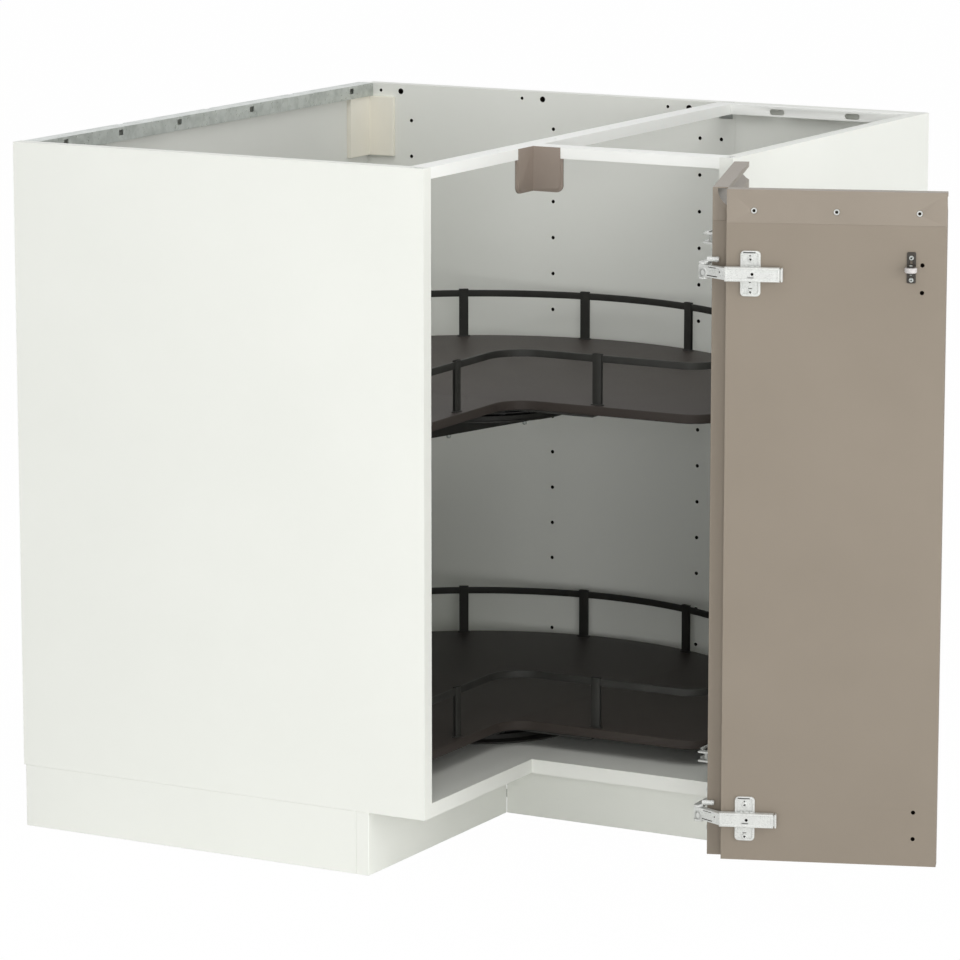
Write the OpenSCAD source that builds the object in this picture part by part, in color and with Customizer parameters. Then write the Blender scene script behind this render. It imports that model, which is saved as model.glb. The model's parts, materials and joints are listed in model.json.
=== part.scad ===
/* [Carcass] */
// Length of the cabinet along each room wall
unit_w = 865; // [850:5:900]
// Depth of the side panels, from the room wall to the front
side_d = 590; // [575:5:605]
// Height of the carcass without the plinth space
body_h = 800; // [790:5:860]
// Height of the plinth space
plinth_h = 80; // [70:5:120]
// Thickness of the side, wall and bottom panels
panel_t = 18; // [17:0.5:19]

/* [Hole rows] */
// Diameter of the shelf and hinge holes
hole_d = 5; // [4.8:0.1:5.4]
// Depth of the holes
hole_depth = 12; // [10:1:14]
// Step from hole to hole, up a column
hole_pitch = 50; // [46:1:50]
// Height of the lowest hole above the underside of the carcass
hole_first = 50; // [44:1:56]
// Number of holes in a column
hole_rows = 15; // [13:1:15]
// Distance of the front column from the panel's front edge
col_front = 52.3; // [48:0.1:58]
// Step from column to column
col_pitch = 224.5; // [220:0.5:228]

/* [Top rails] */
// Thickness of the rail sheet
rail_t = 1.5; // [1.2:0.1:2]
// Width of a front rail's top
rail_w = 27; // [24:1:30]
// Height of a front rail's lip
rail_lip = 13.7; // [12:0.1:16]
// Width of the short rail on the far wall
far_rail_w = 14; // [12:1:18]
// Width of the zinc-coated rail on the left wall
zinc_w = 23.5; // [21:0.5:26]
// Height of the zinc-coated rail's face
zinc_lip = 18; // [16:0.5:20]
// Length of the slots in the far rail
slot_len = 22; // [18:1:26]
// Width of the slots in the far rail
slot_w = 8; // [6:0.5:8]
// Distance between the slots in the far rail
slot_pitch = 110; // [90:5:130]
// Diameter of the worktop screw holes
top_hole_d = 5; // [4:0.5:6]
// Step between the worktop screw holes
top_hole_pitch = 150; // [120:5:160]

/* [Legs and plinth] */
// Diameter of a foot
foot_d = 60; // [50:1:66]
// Height of a foot
foot_h = 8; // [6:0.5:10]
// Diameter of a leg sleeve
sleeve_d = 40; // [34:1:44]
// Diameter of the levelling screw
stem_d = 18; // [14:1:22]
// Distance of the legs from the outer corners
leg_inset = 60; // [50:1:70]
// Distance of the front legs behind the plinth's front
leg_back = 65.5; // [60:0.5:80]
// Width of a plinth clip's head
clip_w = 28; // [20:1:32]
// Height of a plinth clip
clip_h = 16; // [12:0.5:17]
// Thickness of the plinth boards
plinth_t = 18; // [14:1:19]
// Distance of the plinth behind the carcass front
plinth_back = 79.5; // [60:0.5:90]

/* [Door] */
// Thickness of a door leaf
leaf_t = 18; // [17.5:0.1:18.5]
// Gap between the closed leaves and the carcass
door_gap = 1.5; // [1.5:0.1:2]
// Gap at the meeting corner of the two leaves
corner_gap = 0.3; // [0.3:0.1:0.8]
// Height of the grip strip on top of a leaf
grip_h = 38.7; // [34:0.1:44]
// Wall left behind the grip's scoop
grip_wall = 6; // [5:0.5:8]
// Radius of the grip's scoop
scoop_r = 22.8; // [20:0.2:24]
// Height of the grip's turned-down lip
lip_h = 6; // [4:0.5:8]
// Thickness of the grip's top and lip
lip_t = 1.5; // [1.2:0.1:2]
// Distance of the outer grip screws from the leaf's ends
grip_screw_in = 31.5; // [25:0.5:40]
// Height of the grip screws above the leaf
grip_screw_z = 14.2; // [10:0.1:18]
// Opening angle of the door in the stored pose
open_angle = 110.3; // [90:0.1:150]
// Height of the hinges from the ends of a leaf
hinge_end = 50.5; // [46:0.5:60]
// Upper hinge below the leaf's top
hinge_top = 97.5; // [90:0.5:110]

/* [Corner hinges] */
// Diameter of the hinge cups
cup_d = 34.8; // [34:0.1:35]
// Depth of the corner hinge cups
cup_depth = 11.5; // [10:0.5:12.5]
// Width of a cup's flange
flange_w = 22; // [18:0.5:26]
// Height of a cup's flange
flange_h = 55; // [50:0.5:58]
// Distance of the corner cup's centre from the leaf's end
cup_edge = 23; // [22:0.5:26]
// Reach of the cup's ears from the pin
ear_reach = 32; // [26:0.5:34]
// Length of the arm along the leaf
arm_len = 66.7; // [60:0.1:72]
// Height of the arm
arm_h = 16.7; // [15:0.1:18]
// Distance of the arm's outer face from the leaf
arm_rise = 12; // [11:0.1:13]
// Sheet thickness of the arm
arm_t = 1.5; // [1.2:0.1:1.8]
// Distance of the arm's hole from the leaf's end
arm_hole = 31.4; // [26:0.1:36]
// Width of the mounting plate
plate_w = 23.6; // [20:0.1:26]
// Height of the mounting plate
plate_len = 53.2; // [48:0.1:58]
// Distance of the mounting plate's middle from the leaf's end
plate_in = 28.3; // [26:0.1:31]
// Thickness of the mounting plate
plate_thick = 2.8; // [2:0.1:2.9]
// Distance of a mounting plate's screws from its middle
plate_screw = 19; // [17:0.5:21]
// Radius of the corner hinge pin
pin_r = 2; // [1.5:0.1:2.2]

/* [Wide hinges] */
// Depth of the wide hinge cups
wide_depth = 13; // [12.5:0.1:13.5]
// Distance of the wide cup's centre from the leaf's end
wide_edge = 20.5; // [20:0.1:21]
// Length of the guided link between its pins
link_len = 54.14; // [54:0.02:54.3]
// Height of the link bar
link_h = 8; // [6:0.5:8.2]
// Distance of the plate's middle behind the panel's front edge
wide_plate_y = 84; // [80:0.5:90]
// Height of the plate
wide_plate_h = 52; // [46:1:58]
// Width of the plate
wide_plate_w = 38; // [32:1:42]
// Thickness of the plate
wide_plate_t = 3; // [2.5:0.1:3.2]
// Distance of the plate's screws from its middle
wide_screw = 16; // [14:0.5:18]
// Length of the arm behind the panel's front edge
wide_arm_len = 112; // [106:1:118]
// Length of the slotted cheeks behind the panel's front edge
cheek_len = 60; // [59:0.5:64]
// Thickness of a slotted cheek
cheek_t = 2; // [1.5:0.1:2.5]
// Width of a slotted cheek
cheek_w = 23.5; // [23.5:0.1:25]
// Width of a slotted cheek at its front end
cheek_tip = 18; // [17.5:0.1:19]

/* [Catch] */
// Radius of the catch roller
roller_r = 7.2; // [5:0.1:7.3]
// Height of the catch roller
roller_h = 6; // [4:0.5:7]
// Height of the roller above the upper hinge
catch_rise = 9; // [5:0.5:14]

/* [Shelves] */
// Gap between a shelf's edge and the nearest wall
shelf_gap = 19.5; // [15:0.5:30]
// Distance of the notch edges behind the carcass front
notch_back = 62.5; // [56:0.5:72]
// Radius in the notch
notch_r = 40; // [30:1:50]
// Radius of the shelf's two front corners
nose_r = 42; // [36:1:48]
// Thickness of a shelf board
board_t = 12; // [10:0.5:16]
// Underside of the upper board above the underside of the carcass
upper_z = 457; // [420:1:500]
// Height of the rail's top above the board
fence_h = 64; // [50:1:80]
// Height of the rail band
band_h = 8; // [6:0.5:12]
// Thickness of the rail band
band_t = 2.5; // [2:0.1:3.5]
// Distance of the rail band from the board's edge
band_in = 9; // [7:0.5:12]
// Width of a rail post
post_w = 11; // [8:0.5:14]
// Thickness of a rail post
post_t = 3; // [2:0.1:3.4]
// Height of a post above the rail
post_over = 1.6; // [0.5:0.1:3]
// Height of a post's foot
post_foot = 3; // [2:0.2:5]
// Angle between rear posts, seen from the pivot
post_step = 25.8; // [22:0.1:26]
// Distance of the front posts from the pivot, along the notch edge
post_front = 222; // [200:1:240]

/* [Swivels] */
// Height of a swivel, from its seat to the board
swivel_h = 22.4; // [20:0.2:26]
// Radius of the swivel's base plate
base_r = 140; // [125:1:150]
// Reach of the top plate behind the pivot
plate_reach = 130; // [124:1:140]
// Reach of the top plate's wings along the notch
plate_wing = 118; // [100:1:130]
// Width of the top plate's wings
plate_arm = 38; // [30:1:46]
// Thickness of the top plate
plate_t = 3; // [2.5:0.1:3.4]
// Thickness of the base plate
base_t = 2.5; // [2:0.1:3]
// Radius of the ball race
race_r = 110; // [95:1:112]
// Radius of the bearing balls
ball_r = 4.5; // [3.5:0.1:5]
// Number of bearing balls
ball_n = 16; // [8:1:20]
// Width of the crossbar
bar_w = 50; // [40:1:56]
// Height of the crossbar
bar_h = 24; // [20:1:30]
// Wall thickness of the crossbar
bar_t = 2; // [1.5:0.1:3]
// Length of the crossbar's wall brackets below their screws
bracket_edge = 12; // [8:1:16]
// Distance of the swivel bolts from the pivot, along the bar
bolt_x = 71; // [60:1:78]
// Distance of the swivel bolts from the bar's middle
bolt_y = 15; // [10:1:17]

/* [Clearances] */
// Clearance round pins, screws and other fitted pieces
fit = 0.3; // [0.2:0.05:0.4]
// Clearance between cups, cams or rollers and their bores
snug = 0.1; // [0.08:0.01:0.2]

/* [Hidden] */
$fn = 48;
cut = 1;
notch_w = unit_w - side_d;
bottom_z = plinth_h;
floor_z = plinth_h + panel_t;
top_z = plinth_h + body_h;
wall_in = unit_w - panel_t;
col_x = [for (n = [0:2]) side_d - col_front - n * col_pitch];
row_z = [for (n = [0:hole_rows - 1]) bottom_z + hole_first + n * hole_pitch];

// Door, drawn closed: x across a leaf's thickness, y along it from its free end
leaf_x = side_d + door_gap;
leaf_y = door_gap;
leaf_len = notch_w - 2 * door_gap - leaf_t - corner_gap;
leaf_z = bottom_z + door_gap;
leaf_top = top_z - door_gap;
grip_z = leaf_top - grip_h;
leaf_end = leaf_y + leaf_len;
hinge_z = [leaf_z + hinge_end, leaf_top - hinge_top];
fold_pin = [side_d + 22, notch_w + 8];
door_pin = [unit_w + 8.4, notch_w - 4.2];
grip_screws = [grip_screw_in, leaf_len / 2, leaf_len - grip_screw_in];

// Guided link of the wide hinge: places are from the door's turning point
link_pin = [-21.26, -5.75];
link_a0 = 108.87;
link_ratio = 0.587;
link_bend = 12;
link_bend_a = 50;
link_w = 5;
door_min = 0;
door_max = 153;
slot_steps = 24;
cheek_z = link_h / 2 + 0.6;

// Shelves and their crossbar, which runs between two hole columns
pivot = [(col_x[1] + col_x[0]) / 2, unit_w / 2];
shelf_r = min(pivot.x, unit_w - pivot.x, unit_w - pivot.y) - panel_t - shelf_gap;
shelf_a = side_d - pivot.x - notch_back;
bar_angle = atan2(wall_in - panel_t, col_x[0] - col_x[1]);
upper_board = bottom_z + upper_z;
lower_board = floor_z + swivel_h;
bar_top = upper_board - swivel_h;
bar_low = bar_top - bar_h;
race_w = 24;
race_gap = 5.6;
race_z = (swivel_h - plate_t) / 2 + 1.5;

catch_at = [leaf_x - 10.5, leaf_y + 40];
catch_z = hinge_z[1] + catch_rise;

leg_at = [
    [leg_inset, leg_inset],
    [side_d - plinth_back - leg_back, leg_inset],
    [side_d - plinth_back - leg_back, notch_w + plinth_back + leg_back],
    [unit_w - leg_inset, notch_w + plinth_back + leg_back],
    [unit_w - leg_inset, unit_w - leg_inset],
    [unit_w / 2, unit_w - leg_inset],
    [leg_inset, unit_w - leg_inset],
    [leg_inset, unit_w / 2]
];

white = "#ebece6";
zinc = "#a6aba6";
dark = "#2b2b2a";
taupe = "#9e9385";
steel = "#d9dad6";

// ---- shared placing and shapes ----

// The stored origin is the room corner behind the cabinet, at the floor
module from_room_corner() {
    translate([0, -unit_w, 0]) children();
}

// Mirrors left-hand pieces over the diagonal, onto the right-hand side
module on_right() {
    translate([unit_w, unit_w, 0]) mirror([1, 1, 0]) children();
}

// Turns the closed door's pieces to the stored, open pose
module door_open() {
    translate([door_pin.x, door_pin.y, 0])
        rotate([0, 0, open_angle])
            translate([-door_pin.x, -door_pin.y, 0]) children();
}

module at_pivot(z) {
    translate([pivot.x, pivot.y, z]) children();
}

module block(from, to) {
    translate(from) cube(to - from);
}

function turned(p, a) = [p.x * cos(a) - p.y * sin(a), p.x * sin(a) + p.y * cos(a)];

// A screw with its head's underside at the origin, pointing down
module screw(head_d, head_h, shank_d, len) {
    cylinder(d = head_d, h = head_h, $fn = 24);
    translate([0, 0, -len]) cylinder(d = shank_d, h = len + 0.01, $fn = 24);
}

module rounded_plate(w, h, r, t) {
    linear_extrude(t) {
        translate([r - w / 2, -h / 2]) square([w - 2 * r, h]);
        translate([-w / 2, r - h / 2]) square([w, h - 2 * r]);
        for (x = [r - w / 2, w / 2 - r], y = [r - h / 2, h / 2 - r]) {
            translate([x, y]) circle(r, $fn = 32);
        }
    }
}

// ---- carcass ----

module hole_grid() {
    for (x = col_x, z = row_z) {
        translate([x, 0, z]) rotate([90, 0, 0]) cylinder(d = hole_d, h = hole_depth, $fn = 24);
    }
}

module top_pocket(x, y, along) {
    translate([x, y, top_z - 1.2])
        rotate([0, 0, along]) translate([-9, -4, 0]) cube([18, 8, 1.2 + cut]);
}

module side_panel() {
    difference() {
        block([0, 0, bottom_z], [side_d, panel_t, top_z]);
        translate([0, panel_t, 0]) hole_grid();
        top_pocket(side_d - 14, panel_t / 2, 0);
    }
}

module left_side_panel() {
    color(white) from_room_corner() difference() {
        side_panel();
        for (z = [-8, 8]) {
            translate([side_d - 22, panel_t, catch_z + z])
                rotate([90, 0, 0]) cylinder(r = 1.5 + snug, h = 10, $fn = 24);
        }
    }
}

module right_side_panel() {
    color(white) from_room_corner() difference() {
        on_right() side_panel();
        for (z0 = hinge_z, dz = [-wide_screw, wide_screw]) {
            translate([wall_in, notch_w + wide_plate_y - 4, z0 + dz])
                rotate([0, 90, 0]) cylinder(r = 2 + snug, h = 13, $fn = 24);
        }
    }
}

module back_panel() {
    color(white) from_room_corner()
        block([0, panel_t, bottom_z], [panel_t, unit_w, top_z - rail_t]);
}

module rear_side_panel() {
    color(white) from_room_corner() difference() {
        block([panel_t, wall_in, bottom_z], [side_d, unit_w, top_z]);
        translate([0, wall_in + hole_depth, 0]) hole_grid();
        for (x = col_x) {
            translate([x - 17, wall_in + hole_depth, top_z - 9.8])
                rotate([90, 0, 0]) cylinder(d = 8, h = hole_depth, $fn = 32);
            translate([x - 49, wall_in + hole_depth, top_z - 9.8])
                rotate([90, 0, 0]) cylinder(d = 4.4, h = hole_depth, $fn = 24);
        }
        translate([side_d - 20.2, wall_in + hole_depth, row_z[hole_rows - 1]])
            rotate([90, 0, 0]) cylinder(d = hole_d, h = hole_depth, $fn = 24);
        top_pocket(side_d - 14, unit_w - panel_t / 2, 0);
    }
}

module rear_filler_panel() {
    color(white) from_room_corner()
        block([side_d, wall_in, bottom_z], [wall_in, unit_w, top_z]);
}

function bottom_outline() = [
    [panel_t, panel_t], [side_d, panel_t], [side_d, notch_w],
    [wall_in, notch_w], [wall_in, wall_in], [panel_t, wall_in]
];

function cam_at() = [
    [panel_t + 34, 150], [panel_t + 34, unit_w - 150],
    [150, panel_t + 34], [side_d - 60, panel_t + 34],
    [150, wall_in - 34], [side_d + 80, wall_in - 34],
    [wall_in - 34, notch_w + 60], [wall_in - 34, unit_w - 150]
];

module bottom_panel() {
    color(white) from_room_corner() difference() {
        translate([0, 0, bottom_z]) linear_extrude(panel_t) polygon(bottom_outline());
        for (p = cam_at()) {
            translate([p.x, p.y, bottom_z - cut]) cylinder(d = 15, h = 13 + cut, $fn = 32);
        }
        at_pivot(floor_z) for (p = bolt_spots()) {
            translate([p.x, p.y, -14]) cylinder(r = 3 + snug, h = 14 + cut, $fn = 24);
        }
    }
}

module cam_locks() {
    color(zinc) from_room_corner() for (p = cam_at()) {
        translate([p.x, p.y, bottom_z + 0.6]) difference() {
            cylinder(d = 15 - 2 * snug, h = 12.4, $fn = 32);
            translate([-5, -0.8, -cut]) cube([10, 1.6, 2.4 + cut]);
        }
    }
}

// ---- top rails ----

module zinc_wall_rail() {
    face = panel_t + 9;
    color(zinc) from_room_corner() difference() {
        union() {
            block([face - zinc_w, panel_t, top_z - rail_t], [face, wall_in, top_z]);
            block([face - rail_t, panel_t, top_z - zinc_lip], [face, wall_in, top_z - rail_t]);
        }
        for (y = [79, 205, 344, 524, 788]) {
            block([face - 3, y - 5, top_z - 10.5], [face + cut, y + 5, top_z - 3.5]);
        }
        for (y = [238, 448, 661]) {
            block([0, y - 7, top_z - 3], [face - zinc_w + 3, y + 7, top_z + cut]);
        }
    }
}

// A front rail drawn along y, with its lip on x = 0
module front_rail(from, to) {
    difference() {
        union() {
            block([-rail_w, from, top_z - rail_t], [0, to, top_z]);
            block([-rail_t, from, top_z - rail_lip], [0, to, top_z - rail_t]);
            block([-rail_w, from, top_z - 8], [rail_t - rail_w, to, top_z - rail_t]);
        }
        children();
    }
}

module front_rail_left() {
    color(white) from_room_corner() translate([side_d, 0, 0])
        front_rail(panel_t, wall_in) {
            for (n = [-1.5:1:1.5]) {
                translate([-rail_w / 2, unit_w / 2 + n * top_hole_pitch, top_z - 3])
                    cylinder(d = top_hole_d, h = 3 + cut, $fn = 24);
            }
        }
}

module front_rail_right() {
    color(white) from_room_corner() on_right() translate([side_d, 0, 0])
        front_rail(panel_t, notch_w) {
            translate([-rail_w / 2, notch_w / 2 + 10, top_z - 3])
                cylinder(d = top_hole_d, h = 3 + cut, $fn = 24);
        }
}

module slot_cut(len, wid, depth) {
    for (s = [-1, 1]) {
        translate([s * (len - wid) / 2, 0, 0]) cylinder(d = wid, h = depth, $fn = 32);
    }
    translate([-(len - wid) / 2, -wid / 2, 0]) cube([len - wid, wid, depth]);
}

module far_rail() {
    mid = (side_d + wall_in) / 2;
    color(white) from_room_corner() difference() {
        union() {
            block([side_d, wall_in - far_rail_w, top_z - rail_t], [wall_in, wall_in, top_z]);
            block([side_d, wall_in - far_rail_w, top_z - rail_lip],
                  [wall_in, wall_in - far_rail_w + rail_t, top_z - rail_t]);
        }
        for (s = [-1, 1]) {
            translate([mid - 5 + s * slot_pitch / 2, wall_in - far_rail_w + 3, top_z - 7.5])
                rotate([90, 0, 0]) slot_cut(slot_len, slot_w, 6);
        }
    }
}

// An angle with one leg on a wall and one under a rail; x runs out of the wall
module angle_bracket(w, leg) {
    under = top_z - rail_t;
    block([0, -w / 2, under - leg], [rail_t, w / 2, under]);
    block([rail_t, -w / 2, under - rail_t], [leg, w / 2, under]);
    translate([rail_t, 0, under - leg / 2 - 2]) rotate([0, 90, 0]) cylinder(d = 7, h = 1.6, $fn = 24);
}

module rail_brackets() {
    mid = rail_w / 2;
    w = rail_w - 2 * rail_t - 4;
    color(zinc) from_room_corner() {
        translate([side_d - mid, panel_t, 0]) rotate([0, 0, 90]) angle_bracket(w, 20);
        translate([side_d - mid, wall_in, 0]) rotate([0, 0, -90]) angle_bracket(w, 20);
        translate([side_d, notch_w + mid, 0]) angle_bracket(w, 12);
        translate([wall_in, notch_w + mid, 0]) rotate([0, 0, 180]) angle_bracket(w, 20);
        translate([wall_in, wall_in - far_rail_w / 2 + 0.7, 0])
            rotate([0, 0, 180]) angle_bracket(far_rail_w - 2 * rail_t - 2, 14);
        translate([side_d, wall_in - far_rail_w / 2 + 0.7, 0])
            angle_bracket(far_rail_w - 2 * rail_t - 2, 10);
    }
}

module corner_plate() {
    difference() {
        translate([-9 + fit, -4 + fit, 0]) cube([18 - 2 * fit, 8 - 2 * fit, 1]);
        translate([-4, -1.2, -cut]) cube([9, 2.4, 1 + 2 * cut]);
    }
}

module corner_plates() {
    color(steel) from_room_corner() translate([0, 0, top_z - 1.2]) {
        translate([side_d - 14, panel_t / 2, 0]) corner_plate();
        translate([side_d - 14, unit_w - panel_t / 2, 0]) corner_plate();
        on_right() translate([side_d - 14, panel_t / 2, 0]) corner_plate();
    }
}

// ---- cover and filler in the corners ----

module corner_l(leg_x, leg_y, t) {
    polygon([[0, 0], [leg_x, 0], [leg_x, -t], [t, -t], [t, -leg_y], [0, -leg_y]]);
}

module corner_cover() {
    h = 82.7;
    wall = 1.6;
    color("#d6d3c4") from_room_corner() translate([panel_t, wall_in, top_z - zinc_lip - h]) difference() {
        linear_extrude(h) corner_l(44.5, 57.4, 6.5);
        translate([0, 0, wall]) linear_extrude(h - 2 * wall)
            polygon([[-cut, cut], [44.5 - wall, cut], [44.5 - wall, wall - 6.5], [6.5 - wall, wall - 6.5],
                     [6.5 - wall, wall - 57.4], [-cut, wall - 57.4]]);
    }
}

// One wing of the filler in its own plane: square at the fold, round below its free end
module wing(len, h, r, t) {
    linear_extrude(t) difference() {
        square([len, h]);
        difference() {
            translate([len - r, 0]) square([r + cut, r]);
            translate([len - r, r]) circle(r);
        }
    }
}

module corner_filler() {
    front_t = 1.1;
    back_t = 3;
    len = 38.5;
    color("#867a6e") from_room_corner() {
        filler_half(len, top_z - 53, top_z, 8, 0, front_t);
        on_right() filler_half(len, top_z - 53, top_z, 8, 0, front_t);
        filler_half(len + 3, top_z - 56, top_z - rail_lip - 0.2, 9, -back_t, back_t);
        on_right() filler_half(len + 3, top_z - 56, top_z - rail_lip - 0.2, 9, -back_t, back_t);
        block([side_d - back_t, notch_w - 0.1, top_z - 56],
              [side_d + 0.1, notch_w + back_t, top_z - rail_lip - 0.2]);
    }
}

// A wing that stands on the plane x = side_d and runs from the inner corner towards -y
module filler_half(len, low, high, r, from, t) {
    translate([side_d + from, notch_w, low]) rotate([90, 0, -90]) mirror([0, 0, 1])
        wing(len, high - low, r, t);
}

// ---- legs and plinth ----

module at_legs() {
    for (p = leg_at) {
        translate([p.x, p.y, 0]) children();
    }
}

module leg_sleeves() {
    tube = plinth_h * 0.5;
    color(dark) from_room_corner() at_legs() difference() {
        union() {
            translate([0, 0, plinth_h - 4]) rounded_plate(64, 64, 8, 4);
            translate([0, 0, plinth_h - tube]) cylinder(d = sleeve_d, h = tube);
        }
        translate([0, 0, plinth_h - tube - cut]) cylinder(d = stem_d + 2 * fit, h = tube - 4 + cut);
    }
}

module leg_stems() {
    color(dark) from_room_corner() at_legs()
        translate([0, 0, foot_h]) cylinder(d = stem_d, h = plinth_h - foot_h - 6);
}

module leg_feet() {
    color(dark) from_room_corner() at_legs() {
        cylinder(d = foot_d, h = foot_h - 3);
        translate([0, 0, foot_h - 3]) cylinder(d1 = foot_d, d2 = foot_d - 8, h = 3);
    }
}

module plinth_front() {
    x = side_d - plinth_back;
    block([x - plinth_t, 0, 0], [x, notch_w + plinth_back, plinth_h]);
}

module plinth_side() {
    x = side_d - plinth_back - plinth_t;
    block([2.7, 0, 0], [x, plinth_t, plinth_h]);
}

module plinth_front_left() {
    color(white) from_room_corner() plinth_front();
}

module plinth_front_right() {
    x = side_d - plinth_back;
    color(white) from_room_corner()
        block([x, notch_w + plinth_back, 0], [unit_w, notch_w + plinth_back + plinth_t, plinth_h]);
}

module plinth_side_left() {
    color(white) from_room_corner() plinth_side();
}

module plinth_side_right() {
    y = notch_w + plinth_back + plinth_t;
    color(white) from_room_corner()
        block([unit_w - plinth_t, y, 0], [unit_w, unit_w - 2.7, plinth_h]);
}

// A clip round a leg sleeve that reaches to the plinth board on +x
module leg_clip(reach) {
    r = sleeve_d / 2 + fit;
    translate([0, 0, plinth_h * 0.5 + 6]) difference() {
        union() {
            cylinder(r = r + 3, h = clip_h);
            translate([0, -6, 0]) cube([reach - 3, 12, clip_h]);
            translate([reach - 3, -clip_w / 2, 0]) cube([3, clip_w, clip_h]);
        }
        translate([0, 0, -cut]) cylinder(r = r, h = clip_h + 2 * cut);
        translate([-r - 5, -9, -cut]) cube([r + 5, 18, clip_h + 2 * cut]);
    }
}

module plinth_clips() {
    reach = side_d - plinth_back - plinth_t - leg_at[1].x;
    color("#d8d8d2") from_room_corner() {
        translate([leg_at[1].x, leg_at[1].y, 0]) leg_clip(reach);
        on_right() translate([leg_at[1].x, leg_at[1].y, 0]) leg_clip(reach);
    }
}

// ---- door leaves ----

module leaf_blank(cups) {
    difference() {
        block([leaf_x, leaf_y, leaf_z], [leaf_x + leaf_t, leaf_end, grip_z]);
        for (z0 = hinge_z, c = cups) {
            translate([leaf_x - cut, c[0], z0]) rotate([0, 90, 0])
                cylinder(d = cup_d + 2 * snug, h = c[1] + snug + cut);
        }
        children();
    }
}

module grip_section() {
    difference() {
        square([leaf_t, grip_h]);
        intersection() {
            translate([grip_wall + scoop_r, grip_h - lip_t]) circle(scoop_r, $fn = 96);
            union() {
                translate([grip_wall, 0]) square([leaf_t - lip_t - grip_wall, grip_h - lip_t]);
                translate([grip_wall, 0]) square([leaf_t - grip_wall + cut, grip_h - lip_h]);
            }
        }
    }
}

module grip() {
    difference() {
        translate([leaf_x, leaf_end, grip_z]) rotate([90, 0, 0]) linear_extrude(leaf_len) grip_section();
        for (y = grip_screws) {
            translate([leaf_x - cut, leaf_y + y, grip_z + grip_screw_z]) rotate([0, 90, 0]) {
                cylinder(d = 7.6, h = cut + 1.5, $fn = 32);
                cylinder(d = 3.6, h = cut + 6, $fn = 24);
            }
        }
    }
}

module grip_screw_row() {
    for (y = grip_screws) {
        translate([leaf_x + 1.5, leaf_y + y, grip_z + grip_screw_z]) rotate([0, -90, 0]) difference() {
            screw(7, 1.3, 3, 4);
            translate([0, 0, 0.6]) cylinder(d = 2.2, h = 1 + cut, $fn = 6);
        }
    }
}

module right_leaf() {
    color(taupe) from_room_corner() door_open() on_right()
        leaf_blank([[leaf_y + wide_edge, wide_depth], [leaf_end + corner_gap - cup_edge, cup_depth]]);
}

module left_leaf() {
    color(taupe) from_room_corner() door_open() leaf_blank([]) {
        for (z = [66, 34], end = [0, 1]) {
            translate([leaf_x - cut, leaf_y + 27.4, end == 0 ? leaf_z + z - 1 : leaf_top - z - 50])
                rotate([0, 90, 0]) cylinder(d = hole_d, h = 10 + cut, $fn = 24);
        }
        for (z0 = hinge_z, dz = [-plate_screw, plate_screw]) {
            translate([leaf_x - cut, leaf_end - plate_in, z0 + dz])
                rotate([0, 90, 0]) cylinder(r = 2 + snug, h = 11 + cut, $fn = 24);
        }
        for (dz = [-12.5, 13]) {
            translate([leaf_x - cut, catch_at.y, catch_z + dz])
                rotate([0, 90, 0]) cylinder(r = 1.5 + snug, h = 11 + cut, $fn = 24);
        }
    }
}

module right_grip() {
    color(taupe) from_room_corner() door_open() on_right() grip();
}

module left_grip() {
    color(taupe) from_room_corner() door_open() grip();
}

module right_grip_screws() {
    color(steel) from_room_corner() door_open() on_right() grip_screw_row();
}

module left_grip_screws() {
    color(steel) from_room_corner() door_open() grip_screw_row();
}

// ---- corner hinges, which join the two leaves ----

// A drawn cup with its flange, in the right leaf's inner face; y = inner face
module hinge_cup(x, depth, flange_t) {
    face = unit_w - leaf_x;
    translate([x, face, 0]) difference() {
        union() {
            rotate([90, 0, 0]) cylinder(d = cup_d, h = depth);
            translate([0, flange_t, 0]) rotate([90, 0, 0]) rounded_plate(flange_w, flange_h, 5, flange_t);
        }
        translate([0, flange_t + cut, 0]) rotate([90, 0, 0])
            cylinder(d = cup_d - 1.6, h = depth + flange_t - 1 + cut);
        for (s = [-1, 1]) {
            translate([0, flange_t + cut, s * (flange_h / 2 - 4.5)]) rotate([90, 0, 0])
                cylinder(d = 4.2, h = flange_t + 2 * cut - 0.2, $fn = 24);
        }
    }
}

module ear_outline() {
    face = unit_w - leaf_x;
    translate(fold_pin) circle(6.5);
    polygon([
        fold_pin + [-5, -4], [fold_pin.x + 6, face + 1], [fold_pin.x + ear_reach, face + 1],
        [fold_pin.x + ear_reach, face + 5], fold_pin + [4, 5], fold_pin + [0, 6]
    ]);
}

module corner_hinge_cups() {
    face = unit_w - leaf_x;
    ear_in = arm_h / 2 - 1.1;
    ear_out = ear_in + 2.5;
    cup_x = unit_w - leaf_end - corner_gap + cup_edge;
    color(steel) from_room_corner() door_open() for (z0 = hinge_z) translate([0, 0, z0]) {
        hinge_cup(cup_x, cup_depth, 1.4);
        difference() {
            for (z = [ear_in, -ear_out]) {
                translate([0, 0, z]) linear_extrude(ear_out - ear_in) ear_outline();
            }
            translate([fold_pin.x, fold_pin.y, -ear_out - cut])
                cylinder(r = pin_r + snug / 2, h = 2 * ear_out + 2 * cut, $fn = 32);
        }
        translate([fold_pin.x - 5.5, fold_pin.y, 13.6]) rotate([90, 0, 0]) cylinder(r = 3, h = 22, $fn = 32);
        block([fold_pin.x - 7.5, fold_pin.y - 5, ear_out - 0.1], [fold_pin.x - 3.5, fold_pin.y - 1, 12]);
    }
}

module corner_hinge_pins() {
    len = arm_h + 3.4;
    color(zinc) from_room_corner() door_open() for (z0 = hinge_z) {
        translate([fold_pin.x, fold_pin.y, z0 - len / 2]) cylinder(r = pin_r, h = len, $fn = 32);
    }
}

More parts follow.
